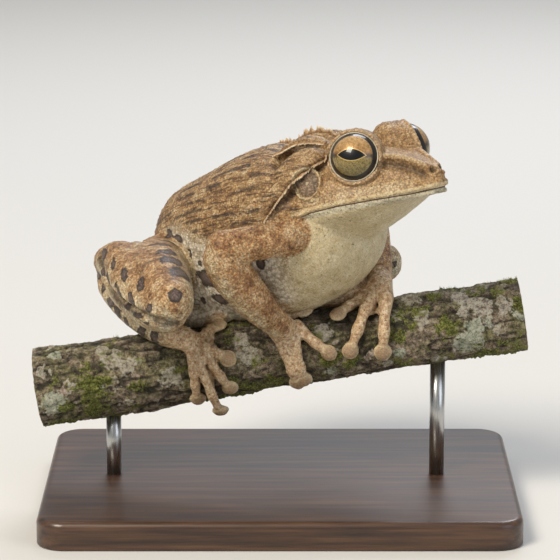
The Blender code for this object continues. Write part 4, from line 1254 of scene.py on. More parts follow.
def buildSkin():
    fineness = body["fineness"]
    points, edges, quads, tris = drawnTogether(skinShapes(), fineness)
    print("skin drawn over its forms:", len(points), "points")
    points = relaxed(points, edges, 3)
    points = easedJoints(points, edges)
    normals = normalsOf(points, quads, tris)
    points = points + creased(points, normals)[:, None] * normals
    points = openedEyes(points)
    skin = makeMesh("skin", (points, quads, tris))
    thinned(skin, body["triangleLimit"], step(toHead(points)[:, 0], 26, 34))
    points, edges, quads, tris = meshArrays(skin.data)
    points = points / millimetre - (0, 0, perchHeight)
    for name, values in skinMarks(points).items():
        setValues(skin, name, values)
    onHead = (toHead(points)[:, 0] < 28).mean()
    print(
        "skin folded and marked:",
        len(quads) * 2 + len(tris),
        "triangles,",
        round(onHead, 2),
        "on the head",
    )
    flesh = [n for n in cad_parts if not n.startswith(("eye", "perch", "stand"))]
    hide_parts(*flesh)
    return skin


blade = {"sample": 0.09, "thick": 0.3, "depth": 0.9, "rising": 0.62}


def bladeShape(way, lean, crest, seed):
    # A blade of skin with a saw edge: height is a low band plus a leaning tooth wave of uneven
    # sizes, and the section narrows from root to tip.
    steps = waySteps(way)
    reach = np.arange(0.0, steps[-1], blade["sample"])
    place = np.column_stack([np.interp(reach, steps, way[:, k]) for k in range(3)])
    uneven = reach - reach[0] + 0.3 * np.sin(1.9 * reach + seed) + 0.2 * np.sin(4.7 * reach)
    count = np.floor(uneven / crest["spacing"])
    phase = uneven / crest["spacing"] - count
    chance = hashed(np.column_stack([count, 0 * count, 0 * count]), seed)
    rising = blade["rising"]
    tooth = np.where(phase < rising, phase / rising, (1 - phase) / (1 - rising))
    fade = np.sin(math.pi * np.clip((reach - reach[0]) / (reach[-1] - reach[0]), 0.04, 0.98))
    size = crest["height"] * (0.45 + 0.75 * chance) * (0.5 + 0.5 * fade)
    tall = size * (0.34 + 0.66 * tooth**1.25)
    run = unit(np.gradient(place, axis=0))
    lean = unit(np.broadcast_to(lean, run.shape))
    flat = unit(np.cross(run, lean))
    v = np.concatenate([np.linspace(0, 1, 9), np.linspace(1, 0, 9)[1:]])
    sign = np.concatenate([np.ones(8), [0], -np.ones(8)])
    half = blade["thick"] * (1 - v) ** 0.8 + 0.07 * (1 - v**6)
    stand = tall[:, None] * v - blade["depth"] * (1 - v) ** 2
    rings = place[:, None] + stand[..., None] * lean[:, None]
    rings = rings + (run * 0.25)[:, None] * (tooth[:, None] * v)[..., None]
    rings = rings + (sign * half)[None, :, None] * flat[:, None]
    shape = facedOut(tube(rings, rings[0].mean(0), rings[-1].mean(0)))
    tip = step(v, 0.45, 0.95)[None, :] * (0.25 + 0.75 * tooth[:, None])
    return shape, np.concatenate([tip.ravel(), [0, 0]])


def onSkin(way, lean, skin):
    # The way moved along lean onto the skin, then smoothed
    tree = BVHTree.FromObject(skin, bpy.context.evaluated_depsgraph_get())
    drop = -Vector(unit(lean))
    lowered = []
    for place in way[::4]:
        start = Vector((place + 6 * unit(lean) + (0, 0, perchHeight)) * millimetre)
        hit = tree.ray_cast(start, drop, 0.012)[0]
        lowered.append(place if hit is None else np.array(hit) / millimetre - (0, 0, perchHeight))
    lowered = np.array(lowered)
    for _ in range(3):
        lowered[1:-1] = (lowered[:-2] + 2 * lowered[1:-1] + lowered[2:]) / 4
    return smoothCurve(lowered, 4)


def buildCrests(skin):
    shapes, tips = [], []
    for side in (-1, 1):
        for number, crest in enumerate(crests.values()):
            if side not in crest["sides"]:
                continue
            lean = crestLean(crest, side)
            foot = onSkin(crestWay(crest, side), lean, skin)
            hang = unit(np.array(crest["teeth"]) * (1, side, 1)) @ bodyAxes
            shape, tip = bladeShape(foot, hang, crest, 5 + number + 3 * side)
            shapes.append(shape)
            tips.append(tip)
    thing = makeMesh("crests", joined(shapes))
    setValues(thing, "rim", np.concatenate(tips))
    print("crests:", len(thing.data.polygons), "faces")
    return thing


# Eyes


def buildEyes():
    # Each eyeball carries its place across and up the iris, in radii, for the iris's pattern
    made = {}
    rims = []
    for side, name in ((-1, "eye_right"), (1, "eye_left")):
        centre, axes = eyeFrame(side)
        shape = ball(centre, axes, (eye["radius"],) * 3, 128, 72)
        tilt = math.radians(eye["pupilTilt"])
        across = math.cos(tilt) * axes[0] + math.sin(tilt) * axes[1]
        upward = math.cos(tilt) * axes[1] - math.sin(tilt) * axes[0]
        away = (shape[0] - centre) / eye["radius"]
        thing = makeMesh(name + "_ball", facedOut(shape))
        setValues(thing, "across", away @ across)
        setValues(thing, "upward", away @ upward)
        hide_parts(name)
        made[name] = thing
        wide = (eye["lidRadius"] + 0.12,) * 2
        rims.append(facedOut(hoop(centre + 2.1 * axes[2], axes[2], axes[0], wide, (0.14, 0.18))))
    rim = makeMesh("eye_rims", joined(rims))
    made["rims"] = rim
    print("eyes: two balls and their rims")
    return made


# The branch

bark = {
    "rows": 440,
    "sides": 212,
    "endRings": 14,
    "mossBlades": 11000,
    # kind, and how far along the branch, degrees round it to the front, radius in mm
    "crusts": {
        "green": (
            (-48.2, 103, 2.9), (-47.0, 25, 1.3), (41.5, 85, 2.2), (40.0, 112, 3.2),
            (-20.0, -60, 3.0),
        ),
        "pink": (
            (-44.5, 77, 1.7), (-34.8, 49, 2.4), (-31.2, 63, 1.8), (-6.2, 76, 2.2), (30.8, 56, 2.2),
            (-49.8, 52, 1.6), (-23.2, 94, 2.3), (-37.0, 25, 1.6), (18.0, -70, 2.6),
        ),
        "white": (
            (39.8, 30, 2.1), (43.2, 54, 2.2), (39.5, 55, 1.5), (44.8, 1, 1.6), (49.2, 21, 1.2),
            (48.5, 60, 1.9), (10.0, 58, 1.9), (-7.8, 47, 1.7), (-38.0, -50, 2.4),
        ),
        "tan": ((29.2, 16, 1.8), (46.8, 98, 1.6), (-32.5, 122, 1.0), (-35.5, 86, 1.9), (6.0, -120, 2.6)),
    },
    "smallCrusts": 150,
    "moss": (
        (-39.8, 85, 3.6), (-41.0, 125, 3.2), (-30.0, 95, 1.6), (-2.5, 119, 1.0), (51.8, 61, 2.0),
        (26.2, 42, 1.7), (24.5, 83, 1.8), (36.2, 80, 2.0), (34.2, 20, 1.4), (-45.8, 109, 1.7),
        (-15.2, 50, 1.4), (14.8, 109, 1.7), (0.0, -95, 5.0), (-30.0, -130, 4.0), (38.0, -60, 4.0),
        (44.0, 175, 5.0), (-12.0, 180, 5.0),
    ),
}


def barkForm(along, turn):
    # The branch's own unevenness, the same waves as the solid's
    waves = np.random.default_rng(7).uniform(0, 2 * math.pi, 6)
    bump = 0.18 * np.sin(2 * turn + waves[0] + along * 0.07)
    bump = bump + 0.14 * np.sin(3 * turn + waves[1] - along * 0.16)
    bump = bump + 0.12 * np.sin(along * 0.31 + waves[2])
    return bump + 0.08 * np.sin(5 * turn + waves[3] + along * 0.4) - 0.45


def buildBranch():
    # A grid over length and turn; lift = solid's form + fissured noise + crusts and moss
    reach, sides = stance["branchReach"], bark["sides"]
    along = np.linspace(-reach, reach, bark["rows"])[:, None] * np.ones(sides)
    turn = (2 * math.pi * np.arange(sides) / sides)[None] * np.ones((bark["rows"], 1))
    lift = barkForm(along, turn)
    skinPlace = onBranch(np.stack([along, -np.degrees(turn), lift], -1))
    flat = skinPlace.reshape(-1, 3)
    grain = flat @ branchAxes.T
    crack = 1 - 2.6 * np.abs(noise(grain, (7.0, 2.4, 2.4), 101, 3))
    plates, tag = cells(grain + 0.5 * noise(grain, 1.5, 103)[:, None], (3.4, 1.9, 1.9), 109)
    rise = 0.22 * noise(grain, (2.2, 1.2, 1.2), 107, 4) + 0.1 * noise(grain, 0.5, 113, 2) + 0.12
    rise += 0.22 * (tag - 0.5) - 0.34 * step(crack, 0.55, 0.95) - 0.2 * step(plates, 0.62, 0.9)
    rng = np.random.default_rng(19)
    ragged = 0.75 * noise(flat, 1.5, 200, 3) + 0.3 * noise(flat, 0.45, 203)
    bent = flat + 0.9 * np.column_stack([noise(flat, 2.2, 205 + k, 2) for k in range(3)])
    spots = [
        (*spot, index / 3) for index, kind in enumerate(bark["crusts"].values()) for spot in kind
    ]
    for _ in range(bark["smallCrusts"]):
        size = 0.5 + 1.1 * rng.uniform() ** 2
        spots.append((rng.uniform(-reach, reach), rng.uniform(-180, 180), size, rng.uniform()))
    crust, hue = np.full(len(flat), -1.0), np.zeros(len(flat))
    for a, degrees, size, kind in spots:
        far = np.linalg.norm(bent - onBranch((a, degrees, 0.0)), axis=1) / size
        patch = 1 - far + ragged * min(1.0, 1.6 / size)
        hue = np.where((patch > crust) & (patch > -0.3), kind, hue)
        crust = np.maximum(crust, patch)
    mossy = np.full(len(flat), -1.0)
    for a, degrees, size in bark["moss"]:
        far = np.linalg.norm(flat - onBranch((a, degrees, 0.0)), axis=1) / size
        mossy = np.maximum(mossy, 1 - far + 1.5 * ragged)
    mossy = np.maximum(mossy, noise(flat, 5.0, 121, 3) + 0.3 * noise(flat, 1.1, 127, 2) - 0.33)
    crumbs, tag = cells(flat, 0.75, 131)
    onCrust = step(crust, -0.05, 0.15) * (1 - step(mossy, 0, 0.2))
    rise += onCrust * (0.16 + 0.2 * np.clip(0.75 - crumbs, 0, 1) * (0.4 + tag))
    tuft, tag = cells(flat, 1.0, 137)
    onMoss = step(mossy, -0.02, 0.25)
    rise += onMoss * (0.1 + 0.6 * np.clip(0.8 - tuft, 0, 1) * (0.3 + tag))
    # painted shade in the deep cracks, where no crust covers them
    cleft = step(crack, 0.3, 0.95) * (1 - onCrust)
    lift = lift + rise.reshape(lift.shape)
    rings = onBranch(np.stack([along, -np.degrees(turn), lift], -1))
    # sawn ends: rings that shrink to the pith, with faint saw marks
    share = np.linspace(1, 0, bark["endRings"] + 2)[1:-1]
    ends = []
    for row, sign in ((0, -1), (-1, 1)):
        middle = branchAxes[0] * sign * reach
        loops = middle + (rings[row] - middle)[None] * share[:, None, None]
        saw = 0.05 * np.sin(4.2 * (loops @ branchAxes[1]))
        saw = saw + 0.04 * noise(loops.reshape(-1, 3), 0.9, 143).reshape(loops.shape[:2])
        loops = loops + saw[..., None] * branchAxes[0] + sign * 0.12 * branchAxes[0]
        ends.append(loops)
    grid = np.concatenate([ends[0][::-1], rings, ends[1]])
    value = np.concatenate(
        [np.ones(bark["endRings"]), np.zeros(bark["rows"]), np.ones(bark["endRings"])]
    )
    radius = np.concatenate([share[::-1], np.ones(bark["rows"]), share])
    shape = tube(grid, branchAxes[0] * -reach, branchAxes[0] * reach)
    thing = makeMesh("branch", facedOut(shape))
    count = bark["endRings"] * sides
    setValues(thing, "wood", np.concatenate([np.repeat(value, sides), [1, 1]]))
    setValues(thing, "core", np.concatenate([np.repeat(radius, sides), [0, 0]]))
    fields = {"crust": crust, "hue": hue, "moss": mossy, "cleft": cleft}
    for name, values in fields.items():
        setValues(thing, name, np.concatenate([np.zeros(count), values, np.zeros(count + 2)]))
    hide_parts("perch")
    print("branch:", len(thing.data.polygons), "faces")
    return thing, buildMoss(rng, flat, rings.reshape(-1, 3), mossy, tuft)


def buildMoss(rng, flat, barkPlace, mossy, tuft):
    # Thin three-sided cones that lean off the bark, thick where the moss mask is
    chance = rng.uniform(0, 1, len(flat))
    upward = unit(offBark(flat)) @ branchAxes[2]
    here = np.where((mossy > 0.02) & (chance < 0.25 + mossy) & (tuft < 0.62) & (upward > -0.55))[0]
    here = here[rng.permutation(len(here))[: bark["mossBlades"]]]
    foot = barkPlace[here]
    off = unit(offBark(foot) + 0.9 * rng.normal(0, 0.5, foot.shape))
    tall = rng.uniform(0.25, 0.7, (len(foot), 1))
    wide = rng.uniform(0.05, 0.09, (len(foot), 1))
    first = unit(np.cross(off, rng.normal(0, 1, foot.shape)))
    second = np.cross(off, first)
    corners = [
        foot - 0.1 * off + wide * (math.cos(a) * first + math.sin(a) * second)
        for a in (0, 2.094, 4.189)
    ]
    points = np.stack([*corners, foot + tall * off], 1).reshape(-1, 3)
    base = 4 * np.arange(len(foot))[:, None]
    tris = np.concatenate([base + np.array(t) for t in ((0, 1, 3), (1, 2, 3), (2, 0, 3), (0, 2, 1))])
    moss = makeMesh("moss", (points, np.zeros((0, 4), int), tris))
    setValues(moss, "tip", np.tile([0.0, 0.0, 0.0, 1.0], len(foot)))
    setValues(moss, "hue", np.repeat(rng.uniform(0, 1, len(foot)), 4))
    print("moss:", len(foot), "blades")
    return moss


# The stand

stand = {"size": (100.0, 72.0, 6.0), "corner": 6.0, "round": 1.4, "rod": 1.6, "rods": (-36.0, 34.0)}


def buildStand():
    # A slab: rounded rectangles stacked up its height, pulled in at the edges by quarter circles
    long, deep, thick = stand["size"]
    corner = stand["corner"]
    turn = np.concatenate([np.radians(np.linspace(90 * q, 90 * q + 90, 20)) for q in range(4)])
    sx = np.repeat([1, -1, -1, 1], 20)
    sy = np.repeat([1, 1, -1, -1], 20)
    arc = np.linspace(0, 90, 9)
    soft = stand["round"]
    low = [(0.5 * (1 - math.sin(math.radians(a))), 0.5 * (1 - math.cos(math.radians(a)))) for a in arc]
    top = [
        (soft * (1 - math.cos(math.radians(a))), thick - soft * (1 - math.sin(math.radians(a))))
        for a in arc
    ]
    profile = [(4.0, 0.0), (1.0, 0.0), *low, *top, (soft + 0.6, thick), (soft + 3.0, thick)]
    rings = []
    for inset, height in profile:
        x = sx * (long / 2 - corner) + (corner - inset) * np.cos(turn)
        y = sy * (deep / 2 - corner) + (corner - inset) * np.sin(turn)
        rings.append(np.column_stack([x, y, np.full(80, height - perchHeight)]))
    floor = np.array([0, 0, -perchHeight])
    slab = makeMesh("stand_slab", facedOut(tube(np.array(rings), floor, floor + (0, 0, thick))))
    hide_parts("stand_base")
    rods = []
    angle = 2 * math.pi * np.arange(48) / 48
    circle = np.column_stack([np.cos(angle), np.sin(angle), 0 * angle])
    for along, node in zip(stand["rods"], ("stand_rod_left", "stand_rod_right")):
        x = along * math.cos(slope)
        bottom = np.array([x, 0, thick - 0.4 - perchHeight])
        upper = np.array([x, 0, along * math.sin(slope) - stance["branchRadius"] + 1.2])
        rings = np.array([bottom + circle * stand["rod"], upper + circle * stand["rod"]])
        rod = makeMesh(node + "_metal", facedOut(tube(rings, bottom, upper)))
        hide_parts(node)
        rods.append(rod)
    print("stand: slab and two rods")
    return slab, rods


# Materials


def tone(code):
    # An sRGB hex colour as linear RGBA
    parts = [int(code[i : i + 2], 16) / 255 for i in (1, 3, 5)]
    return (*[p / 12.92 if p <= 0.04045 else ((p + 0.055) / 1.055) ** 2.4 for p in parts], 1.0)


def newMaterial(name):
    # A material and the one function that adds its nodes. The kind may end in an operation. Inputs
    # are numbers, links, hex colours or names of the mesh's marks, in the sockets' order or, in a
    # dictionary, by name. Stops are a ramp's places and colours.
    made = bpy.data.materials.new(name)
    made.use_nodes = True
    tree = made.node_tree
    tree.nodes.clear()

    def node(kind, *inputs, stops=(), out=0, **settings):
        kind, _, operation = kind.partition(" ")
        new = tree.nodes.new("ShaderNode" + kind)
        sockets = range(len(inputs))
        if kind == "Mix":
            new.data_type, sockets, out = "RGBA", (0, 6, 7), 2
        if operation:
            settings["blend_type" if kind == "Mix" else "operation"] = operation
        for key, value in settings.items():
            setattr(new, key, value)
        byName = len(inputs) == 1 and isinstance(inputs[0], dict)
        named = inputs[0] if byName else dict(zip(sockets, inputs))
        for key, value in named.items():
            if isinstance(value, str) and value[0] == "#":
                value = tone(value)
            elif isinstance(value, str):
                value = node("Attribute", out="Fac", attribute_name=value)
            if isinstance(value, bpy.types.NodeSocket):
                tree.links.new(value, new.inputs[key])
            else:
                new.inputs[key].default_value = value
        if stops:
            marks = new.color_ramp.elements
            while len(marks) < len(stops):
                marks.new(0.5)
            for mark, (place, colour) in zip(marks, stops):
                mark.position = place
                mark.color = tone(colour) if isinstance(colour, str) else (colour, colour, colour, 1)
        return new.outputs[out] if new.outputs else None

    return made, node


def finishMaterial(node, settings, height=None, depth=0.0001, strength=0.6):
    # The Principled surface, with a bump where a height is given; depth is in metres
    if height is not None:
        bump = {"Height": height, "Distance": depth, "Strength": strength}
        settings = {**settings, "Normal": node("Bump", bump)}
    node("OutputMaterial", node("BsdfPrincipled", settings))


def inMillimetres(node):
    # The place on the piece in mm
    place = node("TexCoord", out="Object")
    return node("VectorMath SCALE", {0: place, "Scale": 1000.0})


def skinMaterial():
    # Tree frog skin: tan and brown mottle with dark dashes and bars, cream below, slightly moist.
    # Patches are about 3 mm, mottle 1 mm, grain 0.3 mm and granules 0.45 mm with painted shade between
    # them.
    made, node = newMaterial("frog_skin")
    place = inMillimetres(node)
    broad, patch, fine = (
        node("TexNoise", {"Vector": place, "Scale": scale, "Detail": detail, "Roughness": rough})
        for scale, detail, rough in ((0.3, 3.0, 0.7), (1.3, 6.0, 0.75), (3.6, 4.0, 0.75))
    )
    specks = node("TexNoise", {"Vector": place, "Scale": 1.7, "Detail": 3.0, "Roughness": 0.8})
    rough = node("Math SUBTRACT", fine, 0.5)
    granule = node("TexVoronoi", {"Vector": place, "Scale": 2.1}, out="Distance")
    # painted shade: darker in the hollows between the granules that the bump draws, a little lighter on
    # their tops
    granuleShade = node("MapRange", granule, 0.25, 0.7, 1.12, 0.5)

    level = node("Math MULTIPLY_ADD", broad, 0.5, node("Math MULTIPLY_ADD", patch, 0.5, -0.5))
    calm = node("Math MULTIPLY_ADD", "face", -0.45, 1.0)
    level = node("Math MULTIPLY_ADD", level, calm, 0.507)
    tan = node("ValToRGB", level, stops=[
        (0.37, "#68482D"), (0.44, "#8F6A44"), (0.5, "#B08A5A"), (0.55, "#C8A576"),
        (0.62, "#DCC29A"),
    ])
    warm = node("ValToRGB", level, stops=[
        (0.37, "#6A4327"), (0.44, "#945F38"), (0.5, "#B4804F"), (0.55, "#CA9F70"),
        (0.62, "#DDBF95"),
    ])
    light = node("ValToRGB", level, stops=[
        (0.38, "#9C7750"), (0.46, "#C5A87D"), (0.53, "#DACAA4"), (0.62, "#EADFC3"),
    ])
    cream = node("ValToRGB", level, stops=[
        (0.38, "#A28D66"), (0.46, "#C3AF85"), (0.54, "#D6C6A0"), (0.64, "#E9DEC2"),
    ])
    colour = node("Mix", "warm", tan, warm)
    colour = node("Mix", node("Math MULTIPLY", "light", 0.85), colour, light)
    lengthwise = node("VectorMath MULTIPLY", node("CombineXYZ", "run", "round"), (0.2, 1.9, 1.0))
    lines = node("TexNoise", {"Vector": lengthwise, "Scale": 1.0, "Detail": 5.0, "Roughness": 0.65})
    colour = node(
        "Mix", node("Math MULTIPLY", node("MapRange", lines, 0.48, 0.4, 0.0, 0.85), "back"), colour,
        "#5A412D",
    )
    colour = node(
        "Mix", node("Math MULTIPLY", node("MapRange", lines, 0.55, 0.66, 0.0, 0.55), "back"),
        colour, "#DDC296",
    )
    colour = node(
        "Mix", node("MapRange", node("Math MULTIPLY_ADD", rough, 1.5, "faint"), 0.0, 0.3, 0.0, 0.6),
        colour, "#5B4538",
    )
    streak = node("Math MULTIPLY_ADD", rough, 1.1, "streak")
    colour = node("Mix", node("MapRange", streak, -0.04, 0.16, 0.0, 0.86), colour, "#4C3A2D")
    few = node("Math MULTIPLY", node("MapRange", specks, 0.6, 0.65), 0.8)
    colour = node("Mix", few, colour, "#49341F")
    colour = node("Mix", node("MapRange", specks, 0.37, 0.31, 0.0, 0.6), colour, "#E3D3AE")
    cobble = node("TexVoronoi", {"Vector": place, "Scale": 1.15}, out="Distance")
    cobbled = node(
        "Mix",
        node("MapRange", cobble, 0.42, 0.7, 0.0, 0.75),
        node("ValToRGB", patch, stops=[(0.38, "#DCCDB0"), (0.56, "#F7EFDD")]),
        "#9A866A",
    )
    cream = node("Mix", "flank", cream, cobbled)
    paleSpecks = node("Math MULTIPLY", node("MapRange", specks, 0.61, 0.65), 0.8)
    colour = node("Mix", "pale", colour, node("Mix", paleSpecks, cream, "#5F523F"))

    # lips: cream above the mouth's line, greyish below it, both specked, with painted shade along the
    # line
    mouth = node("Math MULTIPLY_ADD", rough, 0.5, "mouth")
    upper = node(
        "Math MULTIPLY", node("MapRange", mouth, 1.3, 1.0), node("MapRange", mouth, -0.05, 0.05)
    )
    lower = node(
        "Math MULTIPLY", node("MapRange", mouth, -1.4, -1.1), node("MapRange", mouth, 0.05, -0.05)
    )
    lipSpecks = node("Math MULTIPLY", node("MapRange", specks, 0.56, 0.62), 0.75)
    upperColour = node(
        "Mix",
        lipSpecks,
        node("ValToRGB", level, stops=[(0.36, "#B28F62"), (0.5, "#D2B98C"), (0.62, "#E6D9B6")]),
        "#6A4C34",
    )
    lowerColour = node(
        "Mix",
        lipSpecks,
        node("ValToRGB", patch, stops=[(0.35, "#A59A80"), (0.6, "#CFC5A8")]),
        "#655845",
    )
    colour = node("Mix", node("Math MULTIPLY", upper, "lip"), colour, upperColour)
    colour = node("Mix", node("Math MULTIPLY", lower, "lip"), colour, lowerColour)
    # painted shade: a dark line down in the mouth's groove
    mouthShade = node(
        "MapRange", node("Math ABSOLUTE", node("Math MULTIPLY_ADD", rough, 0.12, "mouth")), 0.15,
        0.08,
    )
    colour = node("Mix", node("Math MULTIPLY", mouthShade, "lip"), colour, "#4E352C")
    foldColour = node("ValToRGB", patch, stops=[(0.36, "#C1935F"), (0.55, "#E0CBA0")])
    colour = node("Mix", node("Math MULTIPLY", "fold", 0.9), colour, foldColour)

    # eardrum: dotted grey-brown with a pale rim and a pale middle
    drum = node(
        "Mix",
        node("MapRange", specks, 0.52, 0.6, 0.0, 0.4),
        node("ValToRGB", patch, stops=[(0.38, "#826B55"), (0.6, "#A68E73")]),
        "#5F4A38",
    )
    colour = node("Mix", node("MapRange", "ear", 1.02, 0.98), colour, drum)
    ring = node(
        "MapRange", node("Math ABSOLUTE", node("Math SUBTRACT", "ear", 1.15)), 0.1, 0.04, 0.0, 0.9
    )
    colour = node("Mix", ring, colour, "#DFCBA2")
    colour = node("Mix", node("Math MULTIPLY", "edge", 0.7), colour, "#D9BF93")
    colour = node("Mix", node("MapRange", "ear", 0.2, 0.08, 0.0, 0.75), colour, "#CDBB9C")
    lid = node("MapRange", "lid", 0.85, 0.45, 0.0, 0.8)
    colour = node("Mix", lid, colour, node("ValToRGB", patch, stops=[
        (0.36, "#B98D63"), (0.6, "#DABE93"),
    ]))

    # bars and spots: brown-black with the darkest part at the edge
    spot = node("Math MULTIPLY_ADD", rough, 0.9, "dark")
    inside = node("ValToRGB", node("MapRange", spot, 0.0, 0.7), stops=[
        (0.0, "#1B1413"), (0.3, "#312825"), (0.85, "#6B5B54"),
    ])
    colour = node("Mix", node("MapRange", spot, -0.03, 0.12, 0.0, 0.95), colour, inside)

    toes = node("ValToRGB", patch, stops=[
        (0.34, "#8C694C"), (0.45, "#C29E77"), (0.55, "#E0C7A2"), (0.66, "#F2E5CA"),
    ])
    toes = node("Mix", few, toes, "#3E2D22")
    colour = node("Mix", node("Math MULTIPLY", "hand", 0.8), colour, toes)
    colour = node("Mix", node("Math MULTIPLY", "web", 0.85), colour, node("ValToRGB", patch, stops=[
        (0.36, "#6B5A5E"), (0.62, "#A08E8E"),
    ]))
    disc = node("ValToRGB", "disc", stops=[
        (0.0, "#94785A"), (0.6, "#AE9270"), (0.8, "#DEC79E"), (1.0, "#A98A66"),
    ])
    colour = node("Mix", node("Math MULTIPLY", "pad", 0.9), colour, disc)
    colour = node("Mix", node("Math MULTIPLY", "shade", 0.85), colour, "#38271A")
    # the painted shade between the granules, weaker where the skin is smooth, then a fine random tone
    smooth = node(
        "Math MAXIMUM", node("Math MAXIMUM", "pale", "hand"), node("Math MULTIPLY", upper, "lip")
    )
    colour = node("Mix MULTIPLY", node("Math MULTIPLY_ADD", smooth, -0.6, 0.85), colour, granuleShade)
    colour = node(
        "Mix MULTIPLY", node("Math MULTIPLY_ADD", smooth, -0.4, 0.85), colour,
        node("MapRange", fine, 0.36, 0.6, 0.55, 1.22),
    )

    height = node("Math MULTIPLY_ADD", granule, -0.8, node("Math MULTIPLY_ADD", fine, 0.7, patch))
    height = node("Math MULTIPLY_ADD", node("Math MULTIPLY", lines, "back"), 2.0, height)
    wet = node("Math MULTIPLY", "pad", -0.24)
    settings = {
        "Base Color": colour,
        "Roughness": node("Math ADD", wet, node("MapRange", fine, 0.3, 0.7, 0.4, 0.62)),
        "IOR": 1.4,
        "Subsurface Weight": 0.08,
        "Subsurface Radius": (1.0, 0.55, 0.35),
        "Subsurface Scale": 0.0005,
        "Coat Weight": 0.1,
        "Coat Roughness": 0.25,
    }
    finishMaterial(node, settings, height, 0.00022, 0.9)
    return made


def crestMaterial():
    # Toothed skin edges: brown and grainy at the foot, pale and thin at the tips
    made, node = newMaterial("crest_skin")
    place = inMillimetres(node)
    patch, fine = (
        node("TexNoise", {"Vector": place, "Scale": scale, "Detail": detail, "Roughness": rough})
        for scale, detail, rough in ((1.1, 5.0, 0.7), (3.4, 4.0, 0.7))
    )
    foot = node("ValToRGB", patch, stops=[(0.35, "#6B4C31"), (0.5, "#96724B"), (0.65, "#BA966A")])
    tips = node("ValToRGB", patch, stops=[(0.35, "#D2B78E"), (0.6, "#EFE2C4")])
    colour = node("Mix", "rim", foot, tips)
    colour = node("Mix MULTIPLY", 0.7, colour, node("MapRange", fine, 0.32, 0.6, 0.6, 1.15))
    settings = {"Base Color": colour, "Roughness": 0.5, "IOR": 1.4, "Subsurface Weight": 0.1}
    settings["Subsurface Scale"] = 0.0004
    finishMaterial(node, settings, fine, 0.0001, 0.8)
    return made


def rimMaterial():
    # The thin pale edge of the lids: smooth, moist, cream
    made, node = newMaterial("lid_edge")
    place = inMillimetres(node)
    patch = node("TexNoise", {"Vector": place, "Scale": 1.2, "Detail": 3.0})
    colour = node("ValToRGB", patch, stops=[(0.35, "#A89C84"), (0.65, "#CFC4AC")])
    finishMaterial(node, {"Base Color": colour, "Roughness": 0.3, "IOR": 1.4, "Coat Weight": 0.3})
    return made


def eyeMaterial():
    # A frog's eye: bronze iris with black flecks, level pupil with a gold edge, clear wet cornea
    made, node = newMaterial("frog_eye")
    u, v = "across", "upward"

    radius = node(
        "Math SQRT", node("Math ADD", node("Math MULTIPLY", u, u), node("Math MULTIPLY", v, v))
    )
    # the pupil is a lens: half height falls with the square of the place across
    wide, high = 0.54, 0.215
    share = node("Math DIVIDE", u, wide)
    lens = node("Math MULTIPLY", node("Math SUBTRACT", 1.0, node("Math MULTIPLY", share, share)), high)
    gap = node("Math SUBTRACT", node("Math ABSOLUTE", v), lens)
    plane = node("CombineXYZ", u, v)
    swirl = node("TexNoise", {"Vector": plane, "Scale": 9.0, "Detail": 5.0, "Roughness": 0.7})
    fleck = node("TexNoise", {"Vector": plane, "Scale": 26.0, "Detail": 3.0, "Roughness": 0.65})
    level = node("Math MULTIPLY_ADD", v, 0.6, 0.5)
    gold = node("ValToRGB", level, stops=[
        (0.1, "#76683A"), (0.42, "#94804B"), (0.56, "#A97E48"), (0.85, "#C7A06A"),
    ])
    veins = node("ValToRGB", swirl, stops=[(0.36, 0.42), (0.5, 0.92), (0.62, 1.25)])
    gold = node("Mix MULTIPLY", 0.8, gold, veins)
    lower = node("ValToRGB", level, stops=[(0.35, 1.0), (0.62, 0.35)])
    spots = node("Math MULTIPLY", node("ValToRGB", fleck, stops=[(0.56, 0.0), (0.63, 1.0)]), lower)
    colour = node("Mix", spots, gold, "#1E160C")
    band = node(
        "Math MULTIPLY",
        node("ValToRGB", node("Math ABSOLUTE", v), stops=[(0.03, 0.85), (0.15, 0.0)]),
        node("ValToRGB", node("Math ABSOLUTE", u), stops=[(0.42, 0.0), (0.56, 1.0)]),
    )
    colour = node("Mix", band, colour, "#3A2A18")
    edge = node("ValToRGB", gap, stops=[(0.0, 1.0), (0.022, 0.95), (0.05, 0.0)])
    colour = node("Mix", node("Math MULTIPLY", edge, 0.75), colour, "#E3BE77")
    colour = node("Mix", node("ValToRGB", gap, stops=[(0.0, 1.0), (0.008, 0.0)]), colour, "#050505")
    ring = node("ValToRGB", node("Math MULTIPLY_ADD", swirl, 0.03, radius), stops=[
        (0.775, 0.0), (0.8, 1.0),
    ])
    colour = node("Mix", ring, colour, "#08080A")
    metal = node("Math MULTIPLY", node("Math SUBTRACT", 1.0, ring), 0.25)
    settings = {
        "Base Color": colour,
        "Roughness": 0.34,
        "Metallic": metal,
        "IOR": 1.38,
        "Coat Weight": 1.0,
        "Coat Roughness": 0.03,
        "Coat IOR": 1.38,
    }
    finishMaterial(node, settings, swirl, 0.0001, 0.25)
    return made


